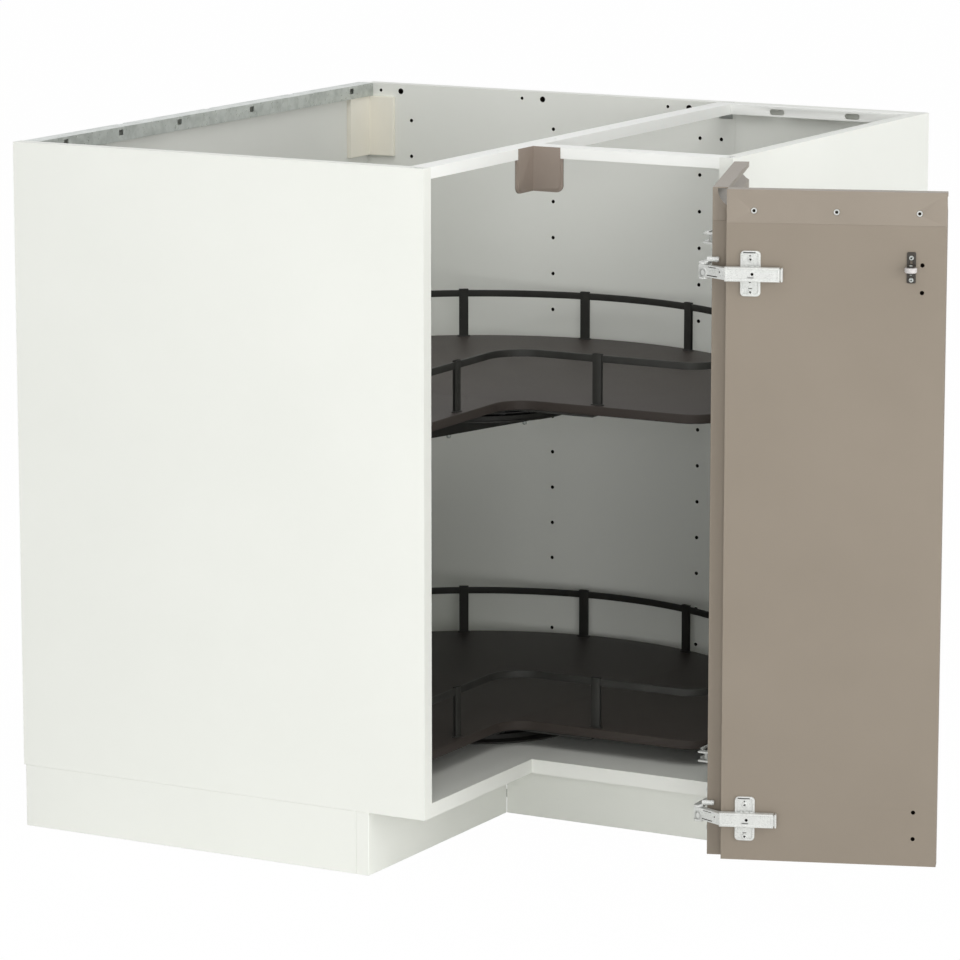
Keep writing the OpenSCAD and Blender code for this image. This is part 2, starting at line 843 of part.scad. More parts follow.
// The bent part of the arm, from the leaf's end to the pin
module arm_bend_outline() {
    x0 = leaf_x - arm_rise;
    y0 = leaf_end + corner_gap;
    a = atan2(fold_pin.y - y0, fold_pin.x - x0);
    n = [-sin(a), cos(a)];
    translate(fold_pin) circle(6);
    polygon([
        [x0, y0 - 6], [x0, y0 + 1], fold_pin + 5 * n, fold_pin - 4 * n,
        [leaf_x - 3, y0 + 1], [leaf_x - 3, y0 - 6]
    ]);
}

module corner_hinge_arms() {
    x0 = leaf_x - arm_rise;
    x1 = leaf_x - 3;
    y0 = leaf_end + corner_gap;
    half = arm_h / 2;
    inner = half - arm_t;
    color(steel) from_room_corner() door_open() for (z0 = hinge_z) translate([0, 0, z0]) {
        difference() {
            union() {
                block([x0, y0 - arm_len, -half], [x1, y0 - 5.9, half]);
                translate([0, 0, -inner]) linear_extrude(2 * inner) arm_bend_outline();
            }
            block([x0 + arm_t, y0 - arm_len - cut, -inner], [x1 + cut, y0 - 12, inner]);
            block([x0 - cut, y0 - arm_hole - 2, -4.2], [x0 + arm_t + cut, y0 - arm_hole + 5.5, -2.5]);
            translate([x0 - cut, y0 - arm_hole, 0.5])
                rotate([0, 90, 0]) cylinder(d = 3.5, h = arm_t + 2 * cut, $fn = 24);
            translate([fold_pin.x, fold_pin.y, -half])
                cylinder(r = pin_r + fit, h = 2 * half, $fn = 32);
        }
    }
}

module corner_hinge_plates() {
    t = plate_thick;
    color(steel) from_room_corner() door_open() for (z0 = hinge_z) {
        translate([leaf_x - t, leaf_end - plate_in, z0]) {
            difference() {
                rotate([0, 90, 0]) rounded_plate(plate_len, plate_w, 5, t);
                for (dz = [-plate_screw, plate_screw]) {
                    translate([-cut, 0, dz])
                        rotate([0, 90, 0]) cylinder(r = 2 + snug, h = t + 2 * cut, $fn = 24);
                }
            }
            for (dz = [-plate_screw, plate_screw]) {
                translate([-0.01, 0, dz]) rotate([0, -90, 0]) screw(7, 1.6, 4, 11);
            }
            block([-6.4, -14, -5.6], [-fit, 10, 5.6]);
        }
    }
}

// ---- wide hinges, which carry the door on the right side panel ----

function link_dir(th) = [cos(link_a0 - link_ratio * th), sin(link_a0 - link_ratio * th)];
function link_end(th) = link_pin + link_len * link_dir(th);
function link_path(th) = door_pin + turned(link_end(th), th);
function path_normal(th) =
    let (d = link_path(th + 0.5) - link_path(th - 0.5))
    [-d.y, d.x] / norm(d);

// The curved slot that the link's end pin follows as the door turns
module link_slot(half_w) {
    ths = [for (i = [0:slot_steps]) door_min + (door_max - door_min) * i / slot_steps];
    polygon(concat(
        [for (i = [0:slot_steps]) link_path(ths[i]) + half_w * path_normal(ths[i])],
        [for (i = [slot_steps:-1:0]) link_path(ths[i]) - half_w * path_normal(ths[i])]
    ));
    for (th = [door_min, door_max]) {
        translate(link_path(th)) circle(half_w, $fn = 32);
    }
}

module cheek_outline() {
    polygon([
        [wall_in - cheek_tip, notch_w - 8], [wall_in - fit, notch_w - 8], [wall_in - fit, notch_w + cheek_len],
        [wall_in - cheek_w, notch_w + cheek_len], [wall_in - cheek_w, notch_w + 9],
        [wall_in - cheek_tip, notch_w + 1]
    ]);
}

module wide_hinge_arms() {
    far = cheek_z + cheek_t;
    web_y = notch_w + cheek_len - 14.6;
    color(steel) from_room_corner() for (z0 = hinge_z) translate([0, 0, z0]) {
        difference() {
            translate([0, 0, -far]) linear_extrude(2 * far) cheek_outline();
            block([wall_in - cheek_w - cut, notch_w - 8 - cut, -cheek_z], [wall_in + cut, web_y, cheek_z]);
            translate([0, 0, -far - cut]) linear_extrude(2 * far + 2 * cut) link_slot(pin_r + fit);
        }
        block([wall_in - 17, notch_w + cheek_len - 0.1, -far],
              [wall_in - wide_plate_t - fit, notch_w + wide_arm_len, far]);
    }
}

module wide_hinge_plates() {
    t = wide_plate_t;
    color(steel) from_room_corner() for (z0 = hinge_z) {
        translate([wall_in - t, notch_w + wide_plate_y, z0]) difference() {
            rotate([0, 90, 0]) rounded_plate(wide_plate_h, wide_plate_w, 5, t);
            for (dz = [-wide_screw, wide_screw]) {
                translate([-cut, -4, dz])
                    rotate([0, 90, 0]) cylinder(r = 2 + snug, h = t + 2 * cut, $fn = 24);
            }
        }
    }
}

module wide_hinge_screws() {
    color(zinc) from_room_corner() for (z0 = hinge_z, dz = [-wide_screw, wide_screw]) {
        translate([wall_in - wide_plate_t, notch_w + wide_plate_y - 4, z0 + dz])
            rotate([0, -90, 0]) screw(7.5, 2.4, 4, wide_plate_t + 11);
    }
}

module wide_hinge_cups() {
    color(steel) from_room_corner() door_open() for (z0 = hinge_z) translate([0, 0, z0])
        hinge_cup(unit_w - leaf_y - wide_edge, wide_depth, 1.1);
}

module wide_hinge_pins() {
    at = door_pin + link_pin;
    color(zinc) from_room_corner() door_open() for (z0 = hinge_z) {
        translate([at.x, at.y, z0 - 12.4]) cylinder(r = 1.5, h = 24.8, $fn = 24);
    }
}

// The cranked bar, drawn for the stored angle of the door
module link_outline() {
    a = link_a0 - link_ratio * open_angle;
    from = door_pin + link_pin;
    elbow = from + link_bend * [cos(a + link_bend_a), sin(a + link_bend_a)];
    to = door_pin + link_end(open_angle);
    link_bar(from, elbow);
    link_bar(elbow, to);
    translate(from) circle(3.2, $fn = 32);
    translate(elbow) circle(link_w / 2, $fn = 32);
    translate(to) circle(3.5, $fn = 32);
}

module link_bar(p, q) {
    n = link_w / 2 * [-(q - p).y, (q - p).x] / norm(q - p);
    polygon([p + n, q + n, q - n, p - n]);
}

module wide_hinge_links() {
    from = door_pin + link_pin;
    to = door_pin + link_end(open_angle);
    color(steel) from_room_corner() door_open() for (z0 = hinge_z) {
        translate([0, 0, z0 - link_h / 2]) difference() {
            linear_extrude(link_h) link_outline();
            translate([from.x, from.y, -cut]) cylinder(r = 1.5 + fit, h = link_h + 2 * cut, $fn = 24);
            translate([to.x, to.y, -cut]) cylinder(r = pin_r + snug / 2, h = link_h + 2 * cut, $fn = 24);
        }
    }
}

module wide_hinge_slide_pins() {
    to = door_pin + link_end(open_angle);
    len = 2 * (cheek_z + cheek_t);
    color(zinc) from_room_corner() door_open() for (z0 = hinge_z) {
        translate([to.x, to.y, z0 - len / 2]) cylinder(r = pin_r, h = len, $fn = 24);
    }
}

// ---- roller catch ----

module catch_bracket() {
    half = roller_h / 2 + fit;
    tab = 1.4;
    color("#6f6a64") from_room_corner() door_open() {
        difference() {
            translate([leaf_x - 1.5, catch_at.y, catch_z + 1.6])
                rotate([0, 90, 0]) rounded_plate(36.2, 10.4, 1.5, 1.5);
            for (dz = [-12.5, 13]) {
                translate([leaf_x - 3, catch_at.y, catch_z + dz])
                    rotate([0, 90, 0]) cylinder(r = 1.5 + snug, h = 4, $fn = 24);
            }
        }
        for (z = [half, -half - tab]) {
            block([catch_at.x - 4, catch_at.y - 4.5, catch_z + z],
                  [leaf_x - 1.4, catch_at.y + 4.5, catch_z + z + tab]);
        }
        translate([catch_at.x, catch_at.y, catch_z - half - tab])
            cylinder(r = 1.5, h = 2 * half + 2 * tab, $fn = 24);
        for (dz = [-12.5, 13]) {
            translate([leaf_x - 1.51, catch_at.y, catch_z + dz]) rotate([0, -90, 0]) screw(5.6, 1.8, 3, 10);
        }
    }
}

module catch_roller() {
    color("#d9d9d6") from_room_corner() door_open()
        translate([catch_at.x, catch_at.y, catch_z - roller_h / 2]) difference() {
            cylinder(r = roller_r, h = roller_h);
            translate([0, 0, -cut]) cylinder(r = 1.5 + fit, h = roller_h + 2 * cut, $fn = 24);
        }
}

module catch_strike() {
    color(zinc) from_room_corner() {
        difference() {
            union() {
                block([side_d - 40, panel_t, catch_z - 14], [side_d - 2, panel_t + 1.2, catch_z + 14]);
                block([side_d - 5.5, panel_t, catch_z - 5], [side_d - 2, panel_t + 3.6, catch_z + 5]);
            }
            for (z = [-8, 8]) {
                translate([side_d - 22, panel_t + 3, catch_z + z])
                    rotate([90, 0, 0]) cylinder(r = 1.5 + snug, h = 5, $fn = 24);
            }
        }
        for (z = [-8, 8]) {
            translate([side_d - 22, panel_t + 1.2, catch_z + z]) rotate([-90, 0, 0]) screw(5.5, 1.6, 3, 9);
        }
    }
}

// ---- crossbar and swivels ----

function bolt_spots() = [
    for (s = [-1, 1], t = [-1, 1]) turned([s * bolt_x, t * bolt_y], bar_angle)
];

module crossbar() {
    color(dark) from_room_corner() difference() {
        intersection() {
            at_pivot(bar_low) rotate([0, 0, bar_angle]) difference() {
                translate([-unit_w / 2, -bar_w / 2, 0]) cube([unit_w, bar_w, bar_h]);
                translate([-unit_w / 2 - cut, bar_t - bar_w / 2, bar_t])
                    cube([unit_w + 2 * cut, bar_w - 2 * bar_t, bar_h - 2 * bar_t]);
            }
            block([0, panel_t + fit, 0], [unit_w, wall_in - fit, top_z]);
        }
        at_pivot(bar_low - cut) for (p = bolt_spots()) {
            translate([p.x, p.y, 0]) cylinder(r = 3 + fit, h = bar_h + 2 * cut, $fn = 24);
        }
    }
}

function bracket_rows() = [for (z = row_z) if (z < bar_low - 6 && z >= bar_low - 6 - hole_pitch) z];

module wall_bracket() {
    low = min(bracket_rows()) - bracket_edge;
    difference() {
        union() {
            block([-32, 0, low], [32, 2, bar_low]);
            block([-32, 2, bar_low - 2], [32, 44, bar_low]);
        }
        for (z = bracket_rows()) {
            translate([0, 4, z]) rotate([90, 0, 0]) cylinder(d = 4.6, h = 6, $fn = 24);
        }
    }
}

module crossbar_brackets() {
    color(dark) from_room_corner() {
        translate([col_x[1], panel_t, 0]) wall_bracket();
        translate([col_x[0], wall_in, 0]) mirror([0, 1, 0]) wall_bracket();
    }
}

module crossbar_screws() {
    color(zinc) from_room_corner() for (z = bracket_rows()) {
        translate([col_x[1], panel_t + 2, z]) rotate([-90, 0, 0]) screw(8, 2.6, 4.2, 11);
        translate([col_x[0], wall_in - 2, z]) rotate([90, 0, 0]) screw(8, 2.6, 4.2, 11);
    }
}

module race(r) {
    rotate_extrude($fn = 96) translate([race_r, race_z]) circle(r, $fn = 32);
}

module swivel_base() {
    low = race_z - race_gap / 2;
    difference() {
        union() {
            cylinder(r = base_r, h = base_t, $fn = 96);
            cylinder(r = race_r + race_w / 2, h = low, $fn = 96);
        }
        translate([0, 0, base_t]) cylinder(r = race_r - race_w / 2, h = low, $fn = 96);
        translate([0, 0, -cut]) cylinder(r = 14 + fit, h = base_t + 2 * cut);
        race(ball_r + fit);
        for (p = bolt_spots()) {
            translate([p.x, p.y, -cut]) cylinder(r = 3 + fit, h = base_t + 2 * cut, $fn = 24);
        }
    }
}

module swivel_balls() {
    for (n = [0:ball_n - 1]) {
        rotate([0, 0, n * 360 / ball_n]) translate([race_r, 0, race_z]) sphere(ball_r, $fn = 24);
    }
    difference() {
        translate([0, 0, race_z - 0.7]) cylinder(r = race_r + 9, h = 1.4, $fn = 96);
        translate([0, 0, race_z - 2]) cylinder(r = race_r - 9, h = 4, $fn = 96);
        for (n = [0:ball_n - 1]) {
            rotate([0, 0, n * 360 / ball_n]) translate([race_r, 0, race_z - 2])
                cylinder(r = ball_r + fit, h = 4, $fn = 24);
        }
    }
}

// The plate under a board: it reaches past the notch's corner and follows its edges
module swivel_top() {
    high = race_z + race_gap / 2;
    under = swivel_h - plate_t;
    difference() {
        union() {
            translate([0, 0, under]) linear_extrude(plate_t) difference() {
                translate([-plate_reach, -shelf_a - plate_arm])
                    square([plate_reach + shelf_a + plate_wing, plate_reach + shelf_a + plate_arm]);
                translate([shelf_a - 1, -shelf_a - 200]) square([300, 201]);
            }
            difference() {
                translate([0, 0, high]) cylinder(r = race_r + race_w / 2, h = under - high + 0.1, $fn = 96);
                translate([0, 0, high - cut])
                    cylinder(r = race_r - race_w / 2, h = under - high + cut, $fn = 96);
            }
            translate([0, 0, 0.4]) cylinder(r = 14, h = under - 0.3);
        }
        race(ball_r + fit);
        translate([0, 0, -cut]) cylinder(r = 9, h = under + cut);
    }
}

module upper_swivel_base() {
    color(dark) from_room_corner() at_pivot(bar_top) swivel_base();
}

module lower_swivel_base() {
    color(dark) from_room_corner() at_pivot(floor_z) swivel_base();
}

module upper_swivel_balls() {
    color(zinc) from_room_corner() at_pivot(bar_top) swivel_balls();
}

module lower_swivel_balls() {
    color(zinc) from_room_corner() at_pivot(floor_z) swivel_balls();
}

module upper_swivel_top() {
    color(dark) from_room_corner() at_pivot(bar_top) swivel_top();
}

module lower_swivel_top() {
    color(dark) from_room_corner() at_pivot(floor_z) swivel_top();
}

module swivel_bolts() {
    color(zinc) from_room_corner() at_pivot(bar_top + base_t) for (p = bolt_spots()) {
        translate([p.x, p.y, 0]) screw(10, 3, 6, base_t + bar_h + 6);
    }
}

module lower_swivel_screws() {
    color(zinc) from_room_corner() at_pivot(floor_z + base_t) for (p = bolt_spots()) {
        translate([p.x, p.y, 0]) screw(10, 3, 6, base_t + 13);
    }
}

// ---- shelves ----

// The shelf's outline, drawn in by i all round: a disc with a quarter notch,
// a round notch corner and two round front corners
module shelf_outline(i) {
    r = shelf_r - i;
    a = shelf_a - i;
    ro = nose_r - i;
    ri = notch_r + i;
    difference() {
        circle(r, $fn = 180);
        difference() {
            translate([a, -r - 10]) square([r + 10, r + 10 - a]);
            difference() {
                translate([a, -a - ri]) square(ri);
                translate([a + ri, -a - ri]) circle(ri, $fn = 64);
            }
        }
        nose_cut(r, a, ro);
        mirror([1, 1]) nose_cut(r, a, ro);
    }
}

// What is cut off to round one front corner
module nose_cut(r, a, ro) {
    c = [sqrt(pow(r - ro, 2) - pow(a - ro, 2)), ro - a];
    difference() {
        polygon([c, [c.x, -a - 1], [r + 12, -a - 1], c / norm(c) * (r + 12)]);
        translate(c) circle(ro, $fn = 64);
    }
}

module outline_band(from, to) {
    difference() {
        shelf_outline(from);
        shelf_outline(to);
    }
}

module post_places(w) {
    for (k = [0:5], s = [-1, 1]) {
        rotate(135 + s * (k + 0.5) * post_step) translate([shelf_r - 40, -w / 2]) square([50, w]);
    }
    translate([shelf_a - 30, -post_front - w / 2]) square([40, w]);
    mirror([1, 1]) translate([shelf_a - 30, -post_front - w / 2]) square([40, w]);
}

module shelf_board() {
    linear_extrude(board_t) shelf_outline(0);
}

module shelf_rail() {
    translate([0, 0, board_t + fence_h - band_h])
        linear_extrude(band_h) outline_band(band_in, band_in + band_t);
}

// Each post is a flat strip on a small foot, outside the rail
module shelf_posts() {
    translate([0, 0, board_t]) {
        linear_extrude(fence_h + post_over) intersection() {
            post_places(post_w);
            outline_band(band_in - post_t, band_in);
        }
        linear_extrude(post_foot) intersection() {
            post_places(post_w + 4);
            outline_band(band_in - post_t - 2, band_in + 3);
        }
    }
}

module upper_shelf_board() {
    color("#45423f") from_room_corner() at_pivot(upper_board) shelf_board();
}

module lower_shelf_board() {
    color("#33312f") from_room_corner() at_pivot(lower_board) shelf_board();
}

module upper_shelf_rail() {
    color(dark) from_room_corner() at_pivot(upper_board) shelf_rail();
}

module lower_shelf_rail() {
    color(dark) from_room_corner() at_pivot(lower_board) shelf_rail();
}

module upper_shelf_posts() {
    color(dark) from_room_corner() at_pivot(upper_board) shelf_posts();
}

module lower_shelf_posts() {
    color(dark) from_room_corner() at_pivot(lower_board) shelf_posts();
}

// ---- what is drawn ----

left_side_panel();
right_side_panel();
back_panel();
rear_side_panel();
rear_filler_panel();
bottom_panel();
cam_locks();
zinc_wall_rail();
front_rail_left();
front_rail_right();
far_rail();
rail_brackets();
corner_plates();
corner_cover();
corner_filler();
leg_sleeves();
leg_stems();
leg_feet();
plinth_front_left();
plinth_front_right();
plinth_side_left();
plinth_side_right();
plinth_clips();
catch_strike();
crossbar();
crossbar_brackets();
crossbar_screws();
swivel_bolts();
upper_swivel_base();
upper_swivel_balls();
lower_swivel_base();
lower_swivel_balls();
lower_swivel_screws();
wide_hinge_arms();
wide_hinge_plates();
wide_hinge_screws();
right_leaf();
right_grip();
right_grip_screws();
wide_hinge_cups();
wide_hinge_pins();
corner_hinge_cups();
corner_hinge_pins();
wide_hinge_links();
wide_hinge_slide_pins();
left_leaf();
left_grip();
left_grip_screws();
corner_hinge_arms();
corner_hinge_plates();
catch_bracket();
catch_roller();
upper_shelf_board();
upper_shelf_rail();
upper_shelf_posts();
upper_swivel_top();
lower_shelf_board();
lower_shelf_rail();
lower_shelf_posts();
lower_swivel_top();
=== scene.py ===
import json
import math
import bmesh
import bpy
from mathutils import Matrix, Vector


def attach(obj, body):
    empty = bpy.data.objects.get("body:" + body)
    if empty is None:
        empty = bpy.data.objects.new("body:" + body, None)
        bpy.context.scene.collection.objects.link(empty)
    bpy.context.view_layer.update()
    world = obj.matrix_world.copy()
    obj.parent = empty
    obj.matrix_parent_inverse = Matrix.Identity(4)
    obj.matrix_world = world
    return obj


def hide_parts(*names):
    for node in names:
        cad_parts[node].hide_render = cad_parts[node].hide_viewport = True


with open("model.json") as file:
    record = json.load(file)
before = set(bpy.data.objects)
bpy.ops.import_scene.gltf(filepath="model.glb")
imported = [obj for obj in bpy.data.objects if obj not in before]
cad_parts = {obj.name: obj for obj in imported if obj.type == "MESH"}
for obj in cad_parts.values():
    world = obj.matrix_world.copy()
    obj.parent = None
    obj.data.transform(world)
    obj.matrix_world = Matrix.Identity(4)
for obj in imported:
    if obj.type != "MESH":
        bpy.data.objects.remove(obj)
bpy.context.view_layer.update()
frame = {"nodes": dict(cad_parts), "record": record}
print("frame loaded:", len(frame["nodes"]), "nodes")

# Millimetres, counted from the cabinet's front left floor corner: X right, Y back, Z up
cabinet = {
    "width": 865.0, "doorPin": (873.4, 270.8), "openAngle": 110.3, "hinges": (132.0, 781.0),
    "pivot": (425.45, 432.5), "upperBoard": 537.0, "lowerBoard": 120.4,
}


# Placing and shaping, shared by all the pieces

def spot(x, y, z):
    return Vector((x / 1000, (y - cabinet["width"]) / 1000, z / 1000))


def clearSelection():
    if bpy.context.mode != "OBJECT":
        bpy.ops.object.mode_set(mode="OBJECT")
    bpy.ops.object.select_all(action="DESELECT")


def useOnly(piece):
    clearSelection()
    piece.select_set(True)
    bpy.context.view_layer.objects.active = piece


def settle(piece):
    # puts the place, turn and size of an object into its mesh
    useOnly(piece)
    bpy.ops.object.transform_apply(location=True, rotation=True, scale=True)
    return piece


def block(name, low, high):
    # a box between two corners in millimetres
    clearSelection()
    a, b = Vector(low) / 1000, Vector(high) / 1000
    bpy.ops.mesh.primitive_cube_add(size=1, location=(a + b) / 2, scale=b - a)
    piece = bpy.context.object
    piece.name = name
    return settle(piece)


def rod(name, radius, low, high, sides=32, at=(0, 0)):
    # an upright cylinder from low to high, in millimetres
    clearSelection()
    bpy.ops.mesh.primitive_cylinder_add(
        vertices=sides, radius=radius / 1000, depth=(high - low) / 1000,
        location=(at[0] / 1000, at[1] / 1000, (low + high) / 2000))
    piece = bpy.context.object
    piece.name = name
    return settle(piece)


def openMesh(piece, mode="FACE"):
    useOnly(piece)
    bpy.ops.object.mode_set(mode="EDIT")
    bpy.ops.mesh.select_mode(type=mode)
    bpy.ops.mesh.select_all(action="DESELECT")
    return bmesh.from_edit_mesh(piece.data)


def closeMesh():
    bpy.ops.object.mode_set(mode="OBJECT")


def pickFaces(piece, test):
    mesh = openMesh(piece, "FACE")
    for face in mesh.faces:
        if test(face.calc_center_median() * 1000, face.normal):
            face.select_set(True)
    bmesh.update_edit_mesh(piece.data)


def pickEdges(piece, test):
    mesh = openMesh(piece, "EDGE")
    for edge in mesh.edges:
        ends = [v.co * 1000 for v in edge.verts]
        if test((ends[0] + ends[1]) / 2, (ends[1] - ends[0]).normalized()):
            edge.select_set(True)
    bmesh.update_edit_mesh(piece.data)


def pickCorners(piece, test):
    # the test gets each corner's place in metres
    mesh = openMesh(piece, "VERT")
    for corner in mesh.verts:
        corner.select_set(test(corner.co))
    bmesh.update_edit_mesh(piece.data)


def shiftFaces(x, y, z):
    # pulls new walls from the selected faces, in millimetres
    bpy.ops.mesh.extrude_region_move(TRANSFORM_OT_translate={"value": (x / 1000, y / 1000, z / 1000)})


def insetFaces(piece, test, width, depth):
    pickFaces(piece, test)
    bpy.ops.mesh.inset(thickness=width / 1000, depth=depth / 1000)
    closeMesh()


def bevelEdges(piece, test, width, segments=3):
    pickEdges(piece, test)
    bpy.ops.mesh.bevel(offset=width / 1000, segments=segments, profile=0.5, affect="EDGES",
                       clamp_overlap=True)
    closeMesh()


def applyModifier(piece, kind, **settings):
    useOnly(piece)
    modifier = piece.modifiers.new(kind.lower(), kind)
    for key, value in settings.items():
        setattr(modifier, key, value)
    bpy.ops.object.modifier_apply(modifier=modifier.name)


def roundOff(piece, width, segments=2, angle=35):
    applyModifier(piece, "BEVEL", width=width / 1000, segments=segments, limit_method="ANGLE",
                  angle_limit=math.radians(angle), use_clamp_overlap=True, miter_outer="MITER_ARC")


def cutWith(piece, *cutters):
    for cutter in cutters:
        applyModifier(piece, "BOOLEAN", operation="DIFFERENCE", object=cutter, solver="EXACT")
        bpy.data.objects.remove(cutter)


def drill(piece, *cutters):
    # cuts, and gives the walls of the cut painted shade, a near-black colour
    if not piece.data.materials:
        piece.data.materials.append(material("zincSteel"))
    for cutter in cutters:
        cutter.data.materials.append(material("paintedHoleShade"))
        applyModifier(piece, "BOOLEAN", operation="DIFFERENCE", object=cutter, solver="EXACT",
                      material_mode="TRANSFER")
        bpy.data.objects.remove(cutter)


def join(name, pieces):
    clearSelection()
    for piece in pieces:
        piece.select_set(True)
    bpy.context.view_layer.objects.active = pieces[0]
    if len(pieces) > 1:
        bpy.ops.object.join()
    pieces[0].name = name
    return pieces[0]


def copyOf(piece, name, matrix=None):
    useOnly(piece)
    bpy.ops.object.duplicate(linked=False)
    twin = bpy.context.object
    twin.name = name
    if matrix is not None:
        twin.matrix_world = matrix @ twin.matrix_world
        settle(twin)
    return twin


def move(x, y, z):
    return Matrix.Translation((x / 1000, y / 1000, z / 1000))


def turn(degrees, axis="Z"):
    return Matrix.Rotation(math.radians(degrees), 4, axis)


def place(piece, matrix):
    piece.matrix_world = matrix @ piece.matrix_world
    return settle(piece)


def aim(piece, at, direction):
    # turns a piece that was made along +Z to point along direction, and moves it to at (millimetres)
    direction = Vector(direction).normalized()
    facing = direction.to_track_quat("Z", "Y").to_matrix().to_4x4()
    return place(piece, Matrix.Translation(Vector(at) / 1000) @ facing)


toRoom = move(0, -cabinet["width"], 0)
pinX, pinY = cabinet["doorPin"]
doorTurn = toRoom @ move(pinX, pinY, 0) @ turn(cabinet["openAngle"]) @ move(-pinX, -pinY, 0)
swapSides = Matrix(((0, -1, 0, 0), (-1, 0, 0, 0), (0, 0, 1, 0), (0, 0, 0, 1)))
overDiagonal = move(cabinet["width"], cabinet["width"], 0) @ swapSides


def outwards(piece):
    pickFaces(piece, lambda centre, normal: True)
    bpy.ops.mesh.normals_make_consistent(inside=False)
    closeMesh()


def smooth(piece, angle=32):
    useOnly(piece)
    bpy.ops.object.shade_smooth_by_angle(angle=math.radians(angle))


def finishPiece(piece, body, finish, nodes=(), smoothAngle=32):
    if smoothAngle:
        smooth(piece, smoothAngle)
    # the walls of holes keep their painted shade
    if not piece.data.materials:
        piece.data.materials.append(material(finish))
    for index, used in enumerate(piece.data.materials):
        if used is None or used.name != "paintedHoleShade":
            piece.data.materials[index] = material(finish)
    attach(piece, body)
    if nodes:
        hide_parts(*nodes)
    return piece


# Finishes: colours are linear, grain and clouds are in pieces per metre

finishes = {
    "whiteBoard": {"slot": "white_board", "pale": (0.806, 0.818, 0.772), "deep": (0.788, 0.801, 0.754),
                   "grain": 900, "clouds": 5, "bump": 0.05, "rough": (0.34, 0.46)},
    "whiteSteel": {"slot": "white_steel", "pale": (0.885, 0.895, 0.868), "deep": (0.866, 0.877, 0.848),
                   "grain": 700, "clouds": 9, "bump": 0.08, "rough": (0.28, 0.40)},
    "zincSteel": {"slot": "zinc_steel", "pale": (0.63, 0.66, 0.64), "deep": (0.46, 0.49, 0.47),
                  "grain": 240, "clouds": 60, "bump": 0.05, "rough": (0.26, 0.46), "metal": 0.85,
                  "spangle": 220},
    "nickelSteel": {"slot": "nickel_steel", "pale": (0.68, 0.69, 0.668), "deep": (0.62, 0.63, 0.61),
                    "grain": 1400, "clouds": 50, "bump": 0.03, "rough": (0.24, 0.36), "metal": 0.45},
    "creamPlastic": {"slot": "cream_plastic", "pale": (0.90, 0.873, 0.772), "deep": (0.87, 0.843, 0.742),
                     "grain": 1500, "clouds": 14, "bump": 0.06, "rough": (0.42, 0.55)},
    "beigePlastic": {"slot": "beige_plastic", "pale": (0.262, 0.218, 0.182), "deep": (0.232, 0.192, 0.160),
                     "grain": 1600, "clouds": 25, "bump": 0.06, "rough": (0.38, 0.50)},
    "blackPlastic": {"slot": "black_plastic", "pale": (0.045, 0.045, 0.045), "deep": (0.030, 0.030, 0.031),
                     "grain": 1500, "clouds": 30, "bump": 0.10, "rough": (0.45, 0.60)},
    "whitePlastic": {"slot": "white_plastic", "pale": (0.50, 0.478, 0.466), "deep": (0.46, 0.44, 0.43),
                     "grain": 1300, "clouds": 40, "bump": 0.05, "rough": (0.30, 0.42)},
    "doorFoil": {"slot": "beige_board", "pale": (0.230, 0.196, 0.156), "deep": (0.215, 0.183, 0.145),
                 "grain": 1100, "clouds": 6, "bump": 0.05, "rough": (0.44, 0.56)},
    "gripLacquer": {"slot": "beige_metal", "pale": (0.250, 0.215, 0.175), "deep": (0.235, 0.202, 0.164),
                    "grain": 1500, "clouds": 14, "bump": 0.05, "rough": (0.36, 0.48)},
    "darkCoat": {"slot": "dark_steel", "pale": (0.030, 0.030, 0.027), "deep": (0.020, 0.020, 0.018),
                 "grain": 1500, "clouds": 30, "bump": 0.12, "rough": (0.42, 0.55)},
    "darkBoard": {"slot": "dark_board", "pale": (0.046, 0.038, 0.033), "deep": (0.038, 0.031, 0.027),
                  "grain": 1300, "clouds": 8, "bump": 0.06, "rough": (0.46, 0.58), "ior": 1.36},
    "brownMetal": {"slot": "brown_metal", "pale": (0.042, 0.037, 0.031), "deep": (0.033, 0.029, 0.024),
                   "grain": 1300, "clouds": 40, "bump": 0.08, "rough": (0.38, 0.50)},
    # painted shade: a near-black colour for the walls of holes, slots and screw recesses, where shade falls
    "paintedHoleShade": {"slot": "dark_steel", "pale": (0.014, 0.011, 0.008), "deep": (0.009, 0.007, 0.005),
                 "grain": 900, "clouds": 30, "bump": 0.02, "rough": (0.75, 0.85), "ior": 1.2},
}


